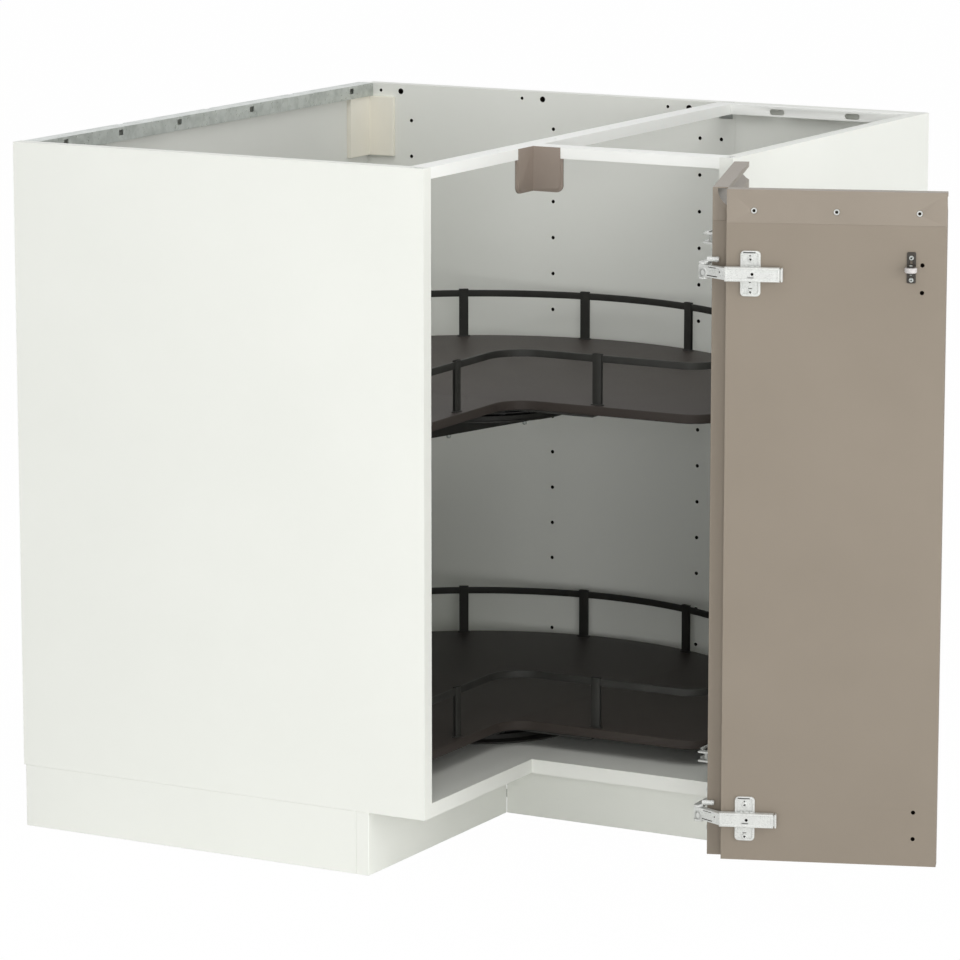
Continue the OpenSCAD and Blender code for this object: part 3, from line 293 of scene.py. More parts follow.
def material(name):
    if name in bpy.data.materials:
        return bpy.data.materials[name]
    look = finishes[name]
    made = bpy.data.materials.new(name)
    made.use_nodes = True
    nodes, links = made.node_tree.nodes, made.node_tree.links
    shader = nodes["Principled BSDF"]
    place3d = nodes.new("ShaderNodeTexCoord")
    clouds = nodes.new("ShaderNodeTexNoise")
    clouds.inputs["Scale"].default_value = look["clouds"]
    clouds.inputs["Detail"].default_value = 3
    grain = nodes.new("ShaderNodeTexNoise")
    grain.inputs["Scale"].default_value = look["grain"]
    grain.inputs["Detail"].default_value = 2
    for texture in (clouds, grain):
        links.new(place3d.outputs["Object"], texture.inputs["Vector"])
    blend = nodes.new("ShaderNodeMix")
    blend.data_type = "RGBA"
    blend.inputs["A"].default_value = (*look["deep"], 1)
    blend.inputs["B"].default_value = (*look["pale"], 1)
    factor = nodes.new("ShaderNodeMapRange")
    factor.inputs["From Min"].default_value = 0.3
    factor.inputs["From Max"].default_value = 0.7
    links.new(clouds.outputs["Fac"], factor.inputs["Value"])
    height = grain.outputs["Fac"]
    if "spangle" in look:
        crystals = nodes.new("ShaderNodeTexVoronoi")
        crystals.inputs["Scale"].default_value = look["spangle"]
        links.new(place3d.outputs["Object"], crystals.inputs["Vector"])
        shades = nodes.new("ShaderNodeSeparateColor")
        links.new(crystals.outputs["Color"], shades.inputs["Color"])
        average = nodes.new("ShaderNodeMath")
        average.operation = "MULTIPLY_ADD"
        average.inputs[1].default_value = 0.35
        links.new(shades.outputs["Red"], average.inputs[0])
        links.new(factor.outputs["Result"], average.inputs[2])
        links.new(average.outputs["Value"], blend.inputs["Factor"])
    else:
        links.new(factor.outputs["Result"], blend.inputs["Factor"])
    links.new(blend.outputs["Result"], shader.inputs["Base Color"])
    rough = nodes.new("ShaderNodeMapRange")
    rough.inputs["From Min"].default_value = 0.3
    rough.inputs["From Max"].default_value = 0.7
    rough.inputs["To Min"].default_value = look["rough"][0]
    rough.inputs["To Max"].default_value = look["rough"][1]
    links.new(height, rough.inputs["Value"])
    links.new(rough.outputs["Result"], shader.inputs["Roughness"])
    bump = nodes.new("ShaderNodeBump")
    bump.inputs["Strength"].default_value = look["bump"]
    bump.inputs["Distance"].default_value = 0.0004
    links.new(height, bump.inputs["Height"])
    links.new(bump.outputs["Normal"], shader.inputs["Normal"])
    shader.inputs["Metallic"].default_value = look.get("metal", 0.0)
    shader.inputs["IOR"].default_value = look.get("ior", 1.45)
    return made


# the first finish of a slot is the one that a CAD shape of that slot gets
slotFinish = {look["slot"]: name for name, look in reversed(list(finishes.items()))}
for entry in frame["record"]["subparts"]:
    node = frame["nodes"][entry["node"]]
    node.data.materials.clear()
    node.data.materials.append(material(slotFinish[entry["material_slot"]]))
print("finishes made:", len(finishes))


# CAD shapes that only want their edges eased

nodeBody = {n: b for b, ns in frame["record"]["behaviour"]["bodies"].items() for n in ns}
nodeSlot = {entry["node"]: entry["material_slot"] for entry in frame["record"]["subparts"]}

# width of the eased edge in millimetres, segments, and the angle up to which faces shade smooth
easedEdges = {
    "left_side_panel": (0.6, 2, 0), "right_side_panel": (0.6, 2, 0), "back_panel": (0.6, 2, 0),
    "rear_side_panel": (0.6, 2, 0), "rear_filler_panel": (0.6, 2, 0), "bottom_panel": (0.6, 2, 0),
    "plinth_front_left": (0.8, 2, 0), "plinth_front_right": (0.8, 2, 0),
    "plinth_side_left": (0.8, 2, 0), "plinth_side_right": (0.8, 2, 0),
    "front_rail_left": (0.45, 2, 0), "front_rail_right": (0.45, 2, 0), "far_rail": (0.45, 2, 30),
    "zinc_wall_rail": (0.35, 2, 0), "corner_cover": (0.5, 2, 0), "corner_filler": (0.35, 2, 30),
    "rail_brackets": (0.3, 2, 30), "corner_plates": (0.25, 2, 0), "plinth_clips": (0.6, 2, 35),
    "crossbar": (0.7, 3, 35), "crossbar_brackets": (0.5, 2, 30),
    "upper_swivel_base": (0.5, 2, 30), "lower_swivel_base": (0.5, 2, 30),
    "upper_swivel_top": (0.6, 2, 30), "lower_swivel_top": (0.6, 2, 30),
    "wide_hinge_arms": (0.5, 2, 30), "wide_hinge_plates": (0.6, 2, 35), "wide_hinge_links": (0.5, 2, 35),
    "wide_hinge_cups": (0.4, 2, 30), "corner_hinge_cups": (0.4, 2, 30),
    "right_leaf": (1.1, 3, 0), "left_leaf": (1.1, 3, 0),
    "right_grip": (0.45, 2, 25), "left_grip": (0.45, 2, 25),
    "upper_shelf_board": (1.4, 3, 25), "lower_shelf_board": (1.4, 3, 25),
    "upper_shelf_rail": (0.7, 3, 25), "lower_shelf_rail": (0.7, 3, 25),
}
# boards with hole rows, and the place that turns them square to the axes
holedNodes = {
    "left_side_panel": toRoom, "right_side_panel": toRoom, "back_panel": toRoom, "rear_side_panel": toRoom,
    "rear_filler_panel": toRoom, "left_leaf": doorTurn,
}
holeWalls = {"inside": 0.0009, "largest": 0.0002}  # metres from the board's faces, square metres
railBand = {"deeper": 1.2, "edge": 2.0}


def darkenHoles(piece, matrix):
    # small faces that lie inside the board are walls of its holes, and get painted shade
    back = matrix.inverted()
    corners = [back @ v.co for v in piece.data.vertices]
    low = [min(c[axis] for c in corners) + holeWalls["inside"] for axis in range(3)]
    high = [max(c[axis] for c in corners) - holeWalls["inside"] for axis in range(3)]
    piece.data.materials.clear()
    piece.data.materials.append(material("whiteBoard"))
    piece.data.materials.append(material("paintedHoleShade"))
    for face in piece.data.polygons:
        centre = back @ face.center
        inside = all(low[axis] < centre[axis] < high[axis] for axis in range(3))
        face.material_index = 1 if inside and face.area < holeWalls["largest"] else 0


def easeNode(node, width, segments, smoothAngle):
    # a merged copy of the CAD shape with its sharp edges eased stands for it
    source = frame["nodes"][node]
    useOnly(source)
    bpy.ops.object.duplicate(linked=False)
    piece = bpy.context.object
    piece.parent = None
    for key in list(piece.keys()):
        del piece[key]
    piece.name = node + ".eased"
    openMesh(piece, "VERT")
    bpy.ops.mesh.select_all(action="SELECT")
    bpy.ops.mesh.remove_doubles(threshold=0.00001)
    bpy.ops.mesh.dissolve_limited(angle_limit=math.radians(0.5))
    closeMesh()
    roundOff(piece, width, segments, 40)
    piece.data.materials.clear()
    if node in holedNodes:
        darkenHoles(piece, holedNodes[node])
    return finishPiece(piece, nodeBody[node], slotFinish[nodeSlot[node]], [node], smoothAngle)


for node, (width, segments, smoothAngle) in easedEdges.items():
    easeNode(node, width, segments, smoothAngle)
for level in ("upper", "lower"):
    rail = bpy.data.objects[level + "_shelf_rail.eased"]
    foot = min(v.co.z for v in rail.data.vertices) * 1000
    pickCorners(rail, lambda at: at.z * 1000 < foot + railBand["edge"])
    bpy.ops.transform.translate(value=(0, 0, -railBand["deeper"] / 1000))
    closeMesh()
print("edges eased on", len(easedEdges), "pieces")


# Screws: each kind is made once along +Z, seated at z = 0, and copied

screwKinds = {  # widths and heights in millimetres
    "panScrew": {"head": 8.0, "rise": 2.6, "shank": 4.2, "reach": 11.0, "cross": 4.6},
    "plateScrew": {"head": 7.5, "rise": 2.4, "shank": 4.0, "reach": 14.0, "cross": 4.4},
    "flangeScrew": {"head": 7.0, "rise": 1.5, "shank": 3.6, "reach": 9.0, "cross": 4.2},
    "smallScrew": {"head": 5.6, "rise": 1.8, "shank": 3.0, "reach": 9.0, "cross": 3.8},
    "hexBolt": {"head": 10.4, "rise": 3.0, "shank": 6.0, "reach": 32.5, "sides": 6, "washer": 12.0},
    "baseBolt": {"head": 10.4, "rise": 3.0, "shank": 6.0, "reach": 15.5, "sides": 6, "washer": 12.0},
    "gripScrew": {"head": 7.2, "rise": 1.3, "shank": 3.0, "reach": 4.0, "dish": 2.1},
}
screwTwist = 37  # degrees from one screw's cross to the next
patterns = {}


def ringRod(name, steps, sides=32):
    # a turned shape: each step is a radius and a height, joined from the bottom up
    (radius, low), *rest = steps
    piece = rod(name, radius, low, low + 0.2, sides)
    height = low + 0.2
    for radius, level in rest:
        pickFaces(piece, lambda c, n: n.z > 0.9 and abs(c.z - height) < 0.01)
        shiftFaces(0, 0, level - height)
        mesh = bmesh.from_edit_mesh(piece.data)
        now = max(v.co.xy.length for f in mesh.faces if f.select for v in f.verts) * 1000
        scale = radius / now
        bpy.ops.transform.resize(value=(scale, scale, 1), center_override=(0, 0, level / 1000))
        closeMesh()
        height = level
    return piece


def screwPattern(kind):
    if kind in patterns:
        return patterns[kind]
    size = screwKinds[kind]
    rise, sides = size["rise"], size.get("sides", 32)
    piece = rod(kind, size["head"] / 2, 0, rise, sides)
    crown, segments = (0.25, 2) if sides == 6 else (0.55, 4)
    bevelEdges(piece, lambda c, d: c.z > rise - 0.01, rise * crown, segments)
    if "cross" in size:
        half, thin, deep = size["cross"] / 2, size["cross"] * 0.13, rise * 0.35
        for side in (0, 90):
            blade = block("blade", (-half, -thin, deep), (half, thin, rise + 1))
            pickFaces(blade, lambda c, n: n.z < -0.9)
            bpy.ops.transform.resize(value=(0.55, 0.8, 1), center_override=(0, 0, deep / 1000))
            closeMesh()
            drill(piece, place(blade, turn(side)))
    if "dish" in size:
        insetFaces(piece, lambda c, n: n.z > 0.9 and c.z > rise - 0.1, 0.5, 0)
        insetFaces(piece, lambda c, n: n.z > 0.9 and c.z > rise - 0.1 and c.xy.length < 0.2, 0.6, -0.3)
        drill(piece, rod("recess", size["dish"], 0.2, rise + 1, 6))
    parts = [piece]
    if "washer" in size:
        washer = rod("washer", size["washer"] / 2, -0.05, 0.7, 40)
        bevelEdges(washer, lambda c, d: c.z > 0.6, 0.25, 2)
        parts.append(washer)
    shank = rod("shank", size["shank"] / 2, -size["reach"], 0.1, 16)
    bevelEdges(shank, lambda c, d: c.z < 0.1 - size["reach"], size["shank"] * 0.22, 1)
    patterns[kind] = join(kind, parts + [shank])
    smooth(patterns[kind], 32)
    return patterns[kind]


def screwGroup(name, kind, places, matrix):
    # copies of one screw, each seated at a place with its head towards a direction
    copies = [aim(copyOf(screwPattern(kind), kind, turn(screwTwist * count)), at, direction)
              for count, (at, direction) in enumerate(places)]
    return place(join(name, copies), matrix)


def acrossRod(name, radius, start, reach, at, sides=32):
    # a cylinder along +X from start, at y and z
    return place(rod(name, radius, 0, reach, sides), move(start, *at) @ turn(90, "Y"))


def slotBlock(name, low, high, axis, rounding, segments=6):
    # a box whose edges along one axis are rounded
    piece = block(name, low, high)
    bevelEdges(piece, lambda c, d: abs(d["XYZ".index(axis)]) > 0.9, rounding, segments)
    return piece


# Corner hinges: arm with its bent end, plate with a raised rim

cornerHinge = {
    "bar": ((579.5, 192.4, -8.35), (588.5, 256.4, 8.35)), "sheet": 1.5, "hollow": 7.5, "ease": 1.0,
    "rim": 1.2, "slope": 0.7, "sunk": 0.6, "endPiece": ((580.0, 188.8, -8.1), (588.4, 190.9, 8.1)),
    "neck": ((581.6, 190.0, -6.4), (587.8, 193.5, 6.4)),
    "hole": (224.1, 0.5, 1.75), "slot": ((578, 222.0, -4.2), (583, 229.6, -2.5)),
    "bendAt": (584.0, 252.5), "bendAngle": 47.45, "bend": ((-1.5, -4, -6.85), (45.9, 5, 6.85)),
    "bendSlots": (((13, 4.0, -5.2), (31, 6.0, -4.1)), ((15, 4.2, 4.9), (29, 6.0, 5.7))),
    "bendEye": (9.0, 1.4, 1.0), "boss": (36.6, -1.9, 6.1),
    "plate": ((588.7, 215.1, -26.6), (591.5, 238.7, 26.6)), "corner": 5.0,
    "plateRim": 1.9, "plateSlope": 0.8, "plateSunk": 0.9, "dot": 0.95,
    "plateSlit": ((588, 221.0, 24.1), (590.2, 235.4, 25.2)),
    "plateDash": ((588, 224.6, -17.6), (590.2, 229.2, -16.8)),
    "plateDots": ((227.4, 20.7), (227.4, -10.2)), "riser": ((582.3, 212.9, -5.6), (589.0, 236.9, 5.6)),
    "lug": ((583.6, 8.3), (587.4, 9.7)), "lugSpans": ((217.0, 220.2), (222.0, 226.4), (229.4, 231.8)),
    "screws": ((226.9, 16.6), (226.9, -21.6)),
}


def cornerArm():
    size = cornerHinge
    bar = block("arm", *size["bar"])
    pickFaces(bar, lambda c, n: n.x > 0.9)
    bpy.ops.mesh.inset(thickness=size["sheet"] / 1000)
    shiftFaces(-size["hollow"], 0, 0)
    closeMesh()
    face = size["bar"][0][0]
    bevelEdges(bar, lambda c, d: c.x < face + 0.01, size["ease"], 4)
    insetFaces(bar, lambda c, n: n.x < -0.99 and c.x < face + 0.01, size["rim"], 0)
    insetFaces(bar, lambda c, n: n.x < -0.99 and c.x < face + 0.01 and abs(c.z) < 1 and abs(c.y - 224) < 5,
               size["slope"], -size["sunk"])
    y, z, r = size["hole"]
    drill(bar, acrossRod("hole", r, face - 1, 4, (y, z)),
          slotBlock("slot", *size["slot"], "X", 0.8))
    endPiece = block("end", *size["endPiece"])
    roundOff(endPiece, 0.6, 3)
    neck = block("neck", *size["neck"])
    roundOff(neck, 0.5, 2)
    bend = slotBlock("bend", *size["bend"], "Z", 0.4, 2)
    bevelEdges(bend, lambda c, d: abs(d.z) > 0.9 and c.x > 40 and c.z * c.z < 1, 3.6, 8)
    roundOff(bend, 0.45, 2)
    for low, high in size["bendSlots"]:
        drill(bend, slotBlock("slot", low, high, "Y", 0.5, 4))
    u, z, r = size["bendEye"]
    drill(bend, place(rod("eye", r, 0, 3, 24), move(u, 3.8, z) @ turn(-90, "X")))
    u, z, r = size["boss"]
    boss = rod("boss", r, -1.5, 1.1, 48)
    bevelEdges(boss, lambda c, d: c.z > 1.0, 0.45, 3)
    insetFaces(boss, lambda c, n: n.z > 0.9 and c.z > 1.0, 1.5, 0)
    insetFaces(boss, lambda c, n: n.z > 0.9 and c.z > 1.0 and c.xy.length < 0.5, 0.4, -0.45)
    insetFaces(boss, lambda c, n: n.z > 0.9 and c.z > 0.5 and c.xy.length < 0.5, 1.5, 0)
    insetFaces(boss, lambda c, n: n.z > 0.9 and c.z > 0.5 and c.xy.length < 0.5, 0.3, 0.7)
    place(boss, move(u, 5, z) @ turn(-90, "X"))
    bent = place(join("bend", [bend, boss]), move(*size["bendAt"], 0) @ turn(size["bendAngle"]))
    return join("corner hinge arm", [bar, endPiece, neck, bent])


def cornerPlate():
    size = cornerHinge
    plate = slotBlock("plate", *size["plate"], "X", size["corner"], 8)
    face = size["plate"][0][0]
    bevelEdges(plate, lambda c, d: c.x < face + 0.01, 0.7, 3)
    insetFaces(plate, lambda c, n: n.x < -0.99 and c.x < face + 0.01, size["plateRim"], 0)
    insetFaces(plate, lambda c, n: n.x < -0.99 and c.x < face + 0.01 and abs(c.z) < 1 and abs(c.y - 226.9) < 2,
               size["plateSlope"], -size["plateSunk"])
    drill(plate, block("slit", *size["plateSlit"]), block("dash", *size["plateDash"]))
    for y, z in size["plateDots"]:
        drill(plate, acrossRod("dot", size["dot"], face - 1, 3.4, (y, z), 16))
    riser = block("riser", *size["riser"])
    roundOff(riser, 0.6, 2)
    y, z, r = size["hole"]
    drill(riser, acrossRod("hole", r + 0.5, 581, 6, (y, z)))
    lugs = []
    (x0, z0), (x1, z1) = size["lug"]
    for start, end in size["lugSpans"]:
        lug = block("lug", (x0, start, z0), (x1, end, z1))
        roundOff(lug, 0.35, 2)
        lugs.append(lug)
    heads = [aim(copyOf(screwPattern("flangeScrew"), "head", turn(20)), (face + 1.2, y, z), (-1, 0, 0))
             for y, z in size["screws"]]
    return join("corner hinge plate", [plate, riser] + lugs + heads)


def atHinges(name, piece, matrix):
    # one copy at each hinge height, joined
    copies = [copyOf(piece, name, move(0, 0, z)) for z in cabinet["hinges"]]
    bpy.data.objects.remove(piece)
    return place(join(name, copies), matrix)


for name, pattern, node in (("corner_hinge_arm_pair", cornerArm(), "corner_hinge_arms"),
                            ("corner_hinge_plate_pair", cornerPlate(), "corner_hinge_plates")):
    finishPiece(atHinges(name, pattern, doorTurn), "left_door_leaf", "nickelSteel", [node])

# the fold's barrel is shorter than its CAD stand-in and carries two bands
barrel = {
    "ends": (262.0, 282.3), "shorter": (4.0, -4.0), "at": (606.5, 13.6), "radius": 3.3, "foot": 10.3,
    "bands": ((266.2, 268.6), (273.0, 274.6)),
}
ears = bpy.data.objects["corner_hinge_cups.eased"]
back = doorTurn.inverted()


def onBarrelEnd(corner, end):
    at = back @ corner * 1000
    above = min(at.z - z for z in cabinet["hinges"] if at.z - z > -60) > barrel["foot"]
    past = at.y < barrel["ends"][0] if end == 0 else at.y > barrel["ends"][1]
    return above and past and abs(at.x - barrel["at"][0]) < barrel["radius"]


for end, shift in enumerate(barrel["shorter"]):
    pickCorners(ears, lambda corner: onBarrelEnd(corner, end))
    bpy.ops.transform.translate(value=doorTurn.to_3x3() @ Vector((0, shift / 1000, 0)))
    closeMesh()
bands = []
for low, high in barrel["bands"]:
    band = rod("band", barrel["radius"], low, high, 32)
    bevelEdges(band, lambda c, d: abs(d.z) < 0.5, 0.25, 2)
    bands.append(place(band, move(barrel["at"][0], 0, barrel["at"][1]) @ turn(-90, "X")))
finishPiece(atHinges("fold_barrel_bands", join("bands", bands), doorTurn), "right_door_leaf", "nickelSteel")

hingeScrews = {
    "cups": ((632.5, 274.9), (843.0, 274.6)), "cupSpread": 23.0, "plate": (844.0, 355.0), "plateSpread": 16.0,
}
places = [((x, y, z + side * hingeScrews["cupSpread"]), (0, 1, 0))
          for x, y in hingeScrews["cups"] for z in cabinet["hinges"] for side in (-1, 1)]
finishPiece(screwGroup("cup_flange_screws", "flangeScrew", places, doorTurn), "right_door_leaf", "zincSteel")
places = [((*hingeScrews["plate"], z + side * hingeScrews["plateSpread"]), (-1, 0, 0))
          for z in cabinet["hinges"] for side in (-1, 1)]
finishPiece(screwGroup("wide_plate_screws", "plateScrew", places, toRoom), "carcass", "zincSteel",
            ["wide_hinge_screws"])
print("hinges made")


# Roller catch

catch = {
    "at": (581.0, 41.5), "height": 790.0, "plate": ((590.0, 36.3, 773.5), (591.5, 46.7, 809.7)), "corner": 1.8,
    "tabs": ((577.0, 37.0), (590.4, 46.0)), "tabGap": 3.3, "tab": 1.4, "screws": (-12.5, 13.0),
    "slot": ((589.4, 40.1, 795.6), (592, 42.9, 800.6)), "roller": (7.2, 6.0),
}


def catchBracket():
    size = catch
    plate = slotBlock("plate", *size["plate"], "X", size["corner"], 5)
    bevelEdges(plate, lambda c, d: c.x < size["plate"][0][0] + 0.01, 0.35, 2)
    drill(plate, slotBlock("slot", *size["slot"], "X", 1.2))
    parts = [plate]
    (x0, y0), (x1, y1) = size["tabs"]
    for low in (size["height"] + size["tabGap"], size["height"] - size["tabGap"] - size["tab"]):
        tab = block("tab", (x0, y0, low), (x1, y1, low + size["tab"]))
        bevelEdges(tab, lambda c, d: abs(d.z) > 0.9 and c.x < x0 + 0.1, 4.0, 8)
        roundOff(tab, 0.3, 2)
        parts.append(tab)
    return join("catch_bracket_plate", parts)


finishPiece(place(catchBracket(), doorTurn), "left_door_leaf", "brownMetal", ["catch_bracket"])
places = [((590.0, catch["at"][1], catch["height"] + dz), (-1, 0, 0)) for dz in catch["screws"]]
catchScrews = screwGroup("catch_screws", "smallScrew", places, Matrix())
axle = ringRod("axle", [(1.5, -5.6), (1.5, 4.7), (2.3, 4.8), (2.3, 5.2), (1.5, 5.9)], 24)
place(axle, move(*catch["at"], catch["height"]))
finishPiece(place(join("catch_screws", [catchScrews, axle]), doorTurn), "left_door_leaf", "zincSteel")

radius, width = catch["roller"]
half, ease, dish = width / 2, 0.9, 0.7
roller = ringRod("catch_roller_wheel", [
    (radius - ease, -half), (radius, -half + ease), (radius, 0), (radius, half - ease), (radius - ease, half),
    (3.6, half), (3.0, half - dish), (1.8, half - dish)], 64)
cutWith(roller, rod("bore", 1.6, -5, 5, 24))
place(roller, doorTurn @ move(*catch["at"], catch["height"]))
finishPiece(roller, "roller", "whitePlastic", ["catch_roller"])

strike = slotBlock("strike", (550.0, 18.0, 776.0), (588.0, 19.2, 804.0), "Y", 2.0, 5)
roundOff(strike, 0.3, 2)
ridge = block("ridge", (584.5, 18.0, 785.0), (588.0, 21.6, 795.0))
bevelEdges(ridge, lambda c, d: c.y > 21.5, 1.2, 4)
places = [((568.0, 19.2, catch["height"] + z), (0, 1, 0)) for z in (-8, 8)]
strikeScrews = screwGroup("strikeScrews", "smallScrew", places, Matrix())
finishPiece(place(join("catch_strike_plate", [strike, ridge, strikeScrews]), toRoom), "carcass", "zincSteel",
            ["catch_strike"])
print("catch made")


# Grip screws

gripScrews = {"face": 593.0, "height": 854.0, "along": (33.0, 128.35, 223.7)}
places = [((gripScrews["face"], along, gripScrews["height"]), (-1, 0, 0)) for along in gripScrews["along"]]
leftGripScrews = screwGroup("left_grip_screw_row", "gripScrew", places, Matrix())
rightGripScrews = copyOf(leftGripScrews, "right_grip_screw_row", overDiagonal)
outwards(rightGripScrews)
finishPiece(place(leftGripScrews, doorTurn), "left_door_leaf", "nickelSteel", ["left_grip_screws"])
finishPiece(place(rightGripScrews, doorTurn), "right_door_leaf", "nickelSteel", ["right_grip_screws"])
print("grip screws made")


# Posts of the shelf rails: a folded channel with a foot and a cap

post = {
    "width": 12.6, "depth": 4.7, "low": 12.0, "high": 77.6, "sheet": 1.1, "slit": 3.2,
    "foot": (17.6, 7.4, 1.4), "cap": (13.2, 5.4, 1.6), "radius": 377.7, "step": 25.8, "frontAlong": 222.0,
    "notchEdge": 91.8,
}


def railPost():
    # made round the rail's middle line, to stand on a board whose underside is at z = 0
    half, deep = post["width"] / 2, post["depth"] / 2
    channel = block("post", (-half, -deep, post["low"]), (half, deep, post["high"]))
    bevelEdges(channel, lambda c, d: abs(d.z) > 0.9, 0.3, 2)
    channel.data.materials.append(material("darkCoat"))
    for side in (1, -1):
        pickFaces(channel, lambda c, n: n.x * side > 0.99)
        bpy.ops.mesh.inset(thickness=(post["sheet"] - 0.3) / 1000)
        shiftFaces(-side * post["slit"], 0, 0)
        closeMesh()
    wide, thick, rise = post["foot"]
    foot = block("foot", (-wide / 2, -thick / 2, post["low"]), (wide / 2, thick / 2, post["low"] + rise))
    bevelEdges(foot, lambda c, d: abs(d.z) > 0.9, 2.2, 4)
    bevelEdges(foot, lambda c, d: c.z > post["low"] + rise - 0.01, 0.6, 3)
    wide, thick, rise = post["cap"]
    cap = block("cap", (-wide / 2, -thick / 2, post["high"] - rise), (wide / 2, thick / 2, post["high"]))
    roundOff(cap, 0.5, 3)
    return join("post", [channel, foot, cap])


def postRow(name, under):
    pattern = railPost()
    centre = move(*cabinet["pivot"], under)
    turns = [135 + side * (k + 0.5) * post["step"] for k in range(6) for side in (-1, 1)]
    copies = [copyOf(pattern, name, centre @ turn(angle) @ move(post["radius"], 0, 0) @ turn(-90))
              for angle in turns]
    edge = move(post["notchEdge"], -post["frontAlong"], 0) @ turn(-90)
    copies.append(copyOf(pattern, name, centre @ edge))
    twin = copyOf(pattern, name, swapSides @ edge)
    outwards(twin)
    copies.append(place(twin, centre))
    bpy.data.objects.remove(pattern)
    return place(join(name, copies), toRoom)


for level in ("upper", "lower"):
    posts = postRow(level + "_rail_posts", cabinet[level + "Board"])
    finishPiece(posts, level + "_carousel", "darkCoat", [level + "_shelf_posts"])
print("posts made")


# Legs under the floor

leg = {
    "places": ((60, 60), (445, 60), (445, 420), (805, 420), (805, 805), (432.5, 805), (60, 805),
               (60, 432.5)),
    "sleeve": [(18.6, 40), (20.0, 41.2), (20.0, 44.0), (19.2, 44.6), (19.2, 72.0), (20.0, 73.0), (20.0, 76.2)],
    "foot": [(27.0, 0), (30.0, 1.6), (30.0, 4.4), (27.4, 6.6), (13.0, 8.0)], "ribs": (8, 12),
    "stem": {"radius": 9.0, "root": 8.3, "start": 12.0, "pitch": 3.6, "turns": 16},
}


def legSleeve():
    tube = ringRod("sleeve", leg["sleeve"], 48)
    plate = slotBlock("plate", (-32, -32, 76), (32, 32, 80), "Z", 8, 6)
    roundOff(plate, 0.6, 2)
    parts = [tube, plate]
    for count in range(leg["ribs"][0]):
        rib = block("rib", (18.5, -0.9, 46), (27.5, 0.9, 76.2))
        pickFaces(rib, lambda c, n: n.z < -0.9)
        bpy.ops.transform.resize(value=(0.15, 1, 1), center_override=(0.0187, 0, 0))
        closeMesh()
        roundOff(rib, 0.25, 2)
        parts.append(place(rib, turn(360 / leg["ribs"][0] * count)))
    for x in (-25, 25):
        for y in (-25, 25):
            parts.append(copyOf(screwPattern("smallScrew"), "screw", move(x, y, 76) @ turn(180, "X")))
    sleeve = join("sleeve", parts)
    cutWith(sleeve, rod("bore", 9.4, 38, 74, 40))
    return sleeve


def legStem():
    size = leg["stem"]
    outer, root, quarter = size["radius"], size["root"], size["pitch"] / 4
    steps = [(outer, 8.0)]
    for ring in range(size["turns"]):
        low = size["start"] + ring * size["pitch"]
        steps += [(outer, low), (root, low + quarter), (root, low + 2 * quarter), (outer, low + 3 * quarter)]
    return ringRod("stem", steps + [(8.4, 73.8)], 32)


def legFoot():
    foot = ringRod("foot", leg["foot"], 64)
    parts = [foot]
    for count in range(leg["ribs"][1]):
        rib = block("rib", (10.0, -1.0, 5.0), (25.5, 1.0, 8.0))
        bevelEdges(rib, lambda c, d: c.z > 7.9, 0.6, 2)
        parts.append(place(rib, turn(360 / leg["ribs"][1] * count)))
    return join("foot", parts)


for name, pattern, node in (("leg_sleeve_group", legSleeve(), "leg_sleeves"),
                            ("leg_stem_group", legStem(), "leg_stems"),
                            ("leg_foot_group", legFoot(), "leg_feet")):
    copies = [copyOf(pattern, name, move(x, y, 0)) for x, y in leg["places"]]
    bpy.data.objects.remove(pattern)
    finishPiece(place(join(name, copies), toRoom), "carcass", "blackPlastic", [node])
print("legs made")

# Swivels: bolts, crossbar screws, and painted shade round the balls' middle

crossbar = {
    "angle": 74.87, "spots": ((71, 15), (71, -15), (-71, 15), (-71, -15)), "seats": (516.9, 100.5),
    "rim": 140.0, "rimStart": 132.0, "drawnIn": 124.0, "shadeBand": 0.9,
    "ends": ((313.2, 20.0, 1), (537.7, 845.0, -1)), "height": 480.0,
}

along = turn(crossbar["angle"])
for name, kind, seat, node in (
        ("swivel_bolt_group", "hexBolt", crossbar["seats"][0], "swivel_bolts"),
        ("lower_swivel_screw_group", "baseBolt", crossbar["seats"][1], "lower_swivel_screws")):
    middle = Vector((*cabinet["pivot"], seat))
    places = [(along @ Vector((u, v, 0)) + middle, (0, 0, 1)) for u, v in crossbar["spots"]]
    finishPiece(screwGroup(name, kind, places, toRoom), "carcass", "zincSteel", [node])
places = [((x, y, crossbar["height"]), (0, side, 0)) for x, y, side in crossbar["ends"]]
finishPiece(screwGroup("crossbar_screw_pair", "panScrew", places, toRoom), "carcass", "zincSteel",
            ["crossbar_screws"])

# the upper plate's rim is drawn in over the bar
plate = bpy.data.objects["upper_swivel_base.eased"]
pivot = spot(*cabinet["pivot"], 0)
pickCorners(plate, lambda corner: (corner - pivot).xy.length * 1000 > crossbar["rimStart"])
scale = crossbar["drawnIn"] / crossbar["rim"]
bpy.ops.transform.resize(value=(scale, scale, 1), center_override=pivot)
closeMesh()

# painted shade: faces round the balls' middle height get black plastic, darkening them as under the board
# where shade falls
for level in ("upper", "lower"):
    balls = frame["nodes"][level + "_swivel_balls"]
    middle = sum((v.co.z for v in balls.data.vertices)) / len(balls.data.vertices)
    balls.data.materials.append(material("blackPlastic"))
    for face in balls.data.polygons:
        face.material_index = 1 if abs(face.center.z - middle) * 1000 < crossbar["shadeBand"] else 0
print("swivels made")

# the screws' patterns aren't part of the cabinet
for pattern in patterns.values():
    bpy.data.objects.remove(pattern)


# Camera, light and floor

shot = {"place": (3374.6, -4888.7, 1554.4), "azimuth": 28.979, "elevation": 10.581, "lens": 178.165}

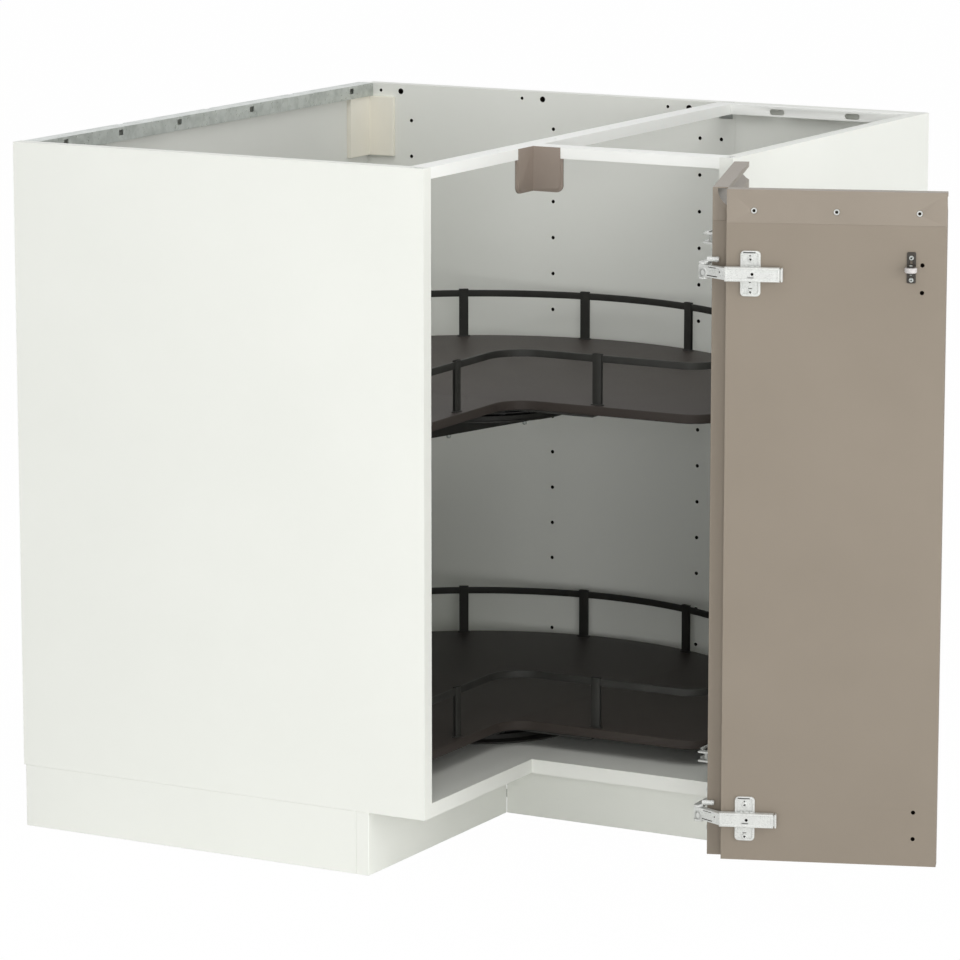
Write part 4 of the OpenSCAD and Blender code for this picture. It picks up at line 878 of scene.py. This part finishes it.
azimuth, elevation = math.radians(shot["azimuth"]), math.radians(shot["elevation"])
flat = math.cos(elevation)
sightLine = Vector((-math.sin(azimuth) * flat, math.cos(azimuth) * flat, -math.sin(elevation)))
camera = bpy.data.objects.new("camera", bpy.data.cameras.new("camera"))
bpy.context.scene.collection.objects.link(camera)
camera.location = spot(*shot["place"])
camera.rotation_euler = sightLine.to_track_quat("-Z", "Y").to_euler()
camera.data.lens = shot["lens"]
camera.data.sensor_width = 36
camera.data.clip_end = 60
bpy.context.scene.camera = camera

lamps = {  # place and aim in metres of the row frame, size, watts
    "over": ((0.9, -1.9, 3.4), (0.45, -0.45, 0.5), 2.6, 32),
    "left": ((-1.9, -3.6, 1.6), (0.4, -0.5, 0.45), 2.4, 7),
    "front": ((2.75, -4.5, 0.85), (0.5, -0.4, 0.42), 1.4, 53),
    "right": ((3.9, -1.5, 1.1), (0.6, -0.5, 0.45), 2.4, 61),
}
for name, (at, aimAt, size, watts) in lamps.items():
    lamp = bpy.data.objects.new(name, bpy.data.lights.new(name, "AREA"))
    bpy.context.scene.collection.objects.link(lamp)
    lamp.location = at
    lamp.rotation_euler = (Vector(aimAt) - Vector(at)).to_track_quat("-Z", "Y").to_euler()
    lamp.data.size = size
    lamp.data.energy = watts
    lamp.visible_glossy = False

# the camera and reflections see pure white, while a softer light falls on the cabinet
world = bpy.data.worlds.new("studio")
bpy.context.scene.world = world
world.use_nodes = True
nodes, links = world.node_tree.nodes, world.node_tree.links
nodes.clear()
rays = nodes.new("ShaderNodeLightPath")
soft = nodes.new("ShaderNodeBackground")
soft.inputs["Color"].default_value = (1.0, 1.0, 0.995, 1)
soft.inputs["Strength"].default_value = 0.48
white = nodes.new("ShaderNodeBackground")
white.inputs["Color"].default_value = (1, 1, 1, 1)
white.inputs["Strength"].default_value = 1.0
seen = nodes.new("ShaderNodeMath")
seen.operation = "MAXIMUM"
links.new(rays.outputs["Is Camera Ray"], seen.inputs[0])
links.new(rays.outputs["Is Glossy Ray"], seen.inputs[1])
mix = nodes.new("ShaderNodeMixShader")
links.new(seen.outputs["Value"], mix.inputs["Fac"])
links.new(soft.outputs["Background"], mix.inputs[1])
links.new(white.outputs["Background"], mix.inputs[2])
links.new(mix.outputs["Shader"], nodes.new("ShaderNodeOutputWorld").inputs["Surface"])

clearSelection()
bpy.ops.mesh.primitive_plane_add(size=60, location=(0, 0, -0.0005))
floor = bpy.context.object
floor.name = "studio_floor"
# the floor glows white to the camera and is matt to everything else
paper = bpy.data.materials.new("paper")
paper.use_nodes = True
nodes, links = paper.node_tree.nodes, paper.node_tree.links
nodes.clear()
rays = nodes.new("ShaderNodeLightPath")
matt = nodes.new("ShaderNodeBsdfDiffuse")
matt.inputs["Color"].default_value = (0.94, 0.94, 0.935, 1)
glow = nodes.new("ShaderNodeEmission")
glow.inputs["Strength"].default_value = 1.0
share = nodes.new("ShaderNodeMath")
share.operation = "MULTIPLY"
share.inputs[1].default_value = 0.99
links.new(rays.outputs["Is Camera Ray"], share.inputs[0])
mix = nodes.new("ShaderNodeMixShader")
links.new(share.outputs["Value"], mix.inputs["Fac"])
links.new(matt.outputs["BSDF"], mix.inputs[1])
links.new(glow.outputs["Emission"], mix.inputs[2])
links.new(mix.outputs["Shader"], nodes.new("ShaderNodeOutputMaterial").inputs["Surface"])
floor.data.materials.append(paper)

bpy.context.scene.view_settings.view_transform = "Standard"
print("camera, light and floor set")
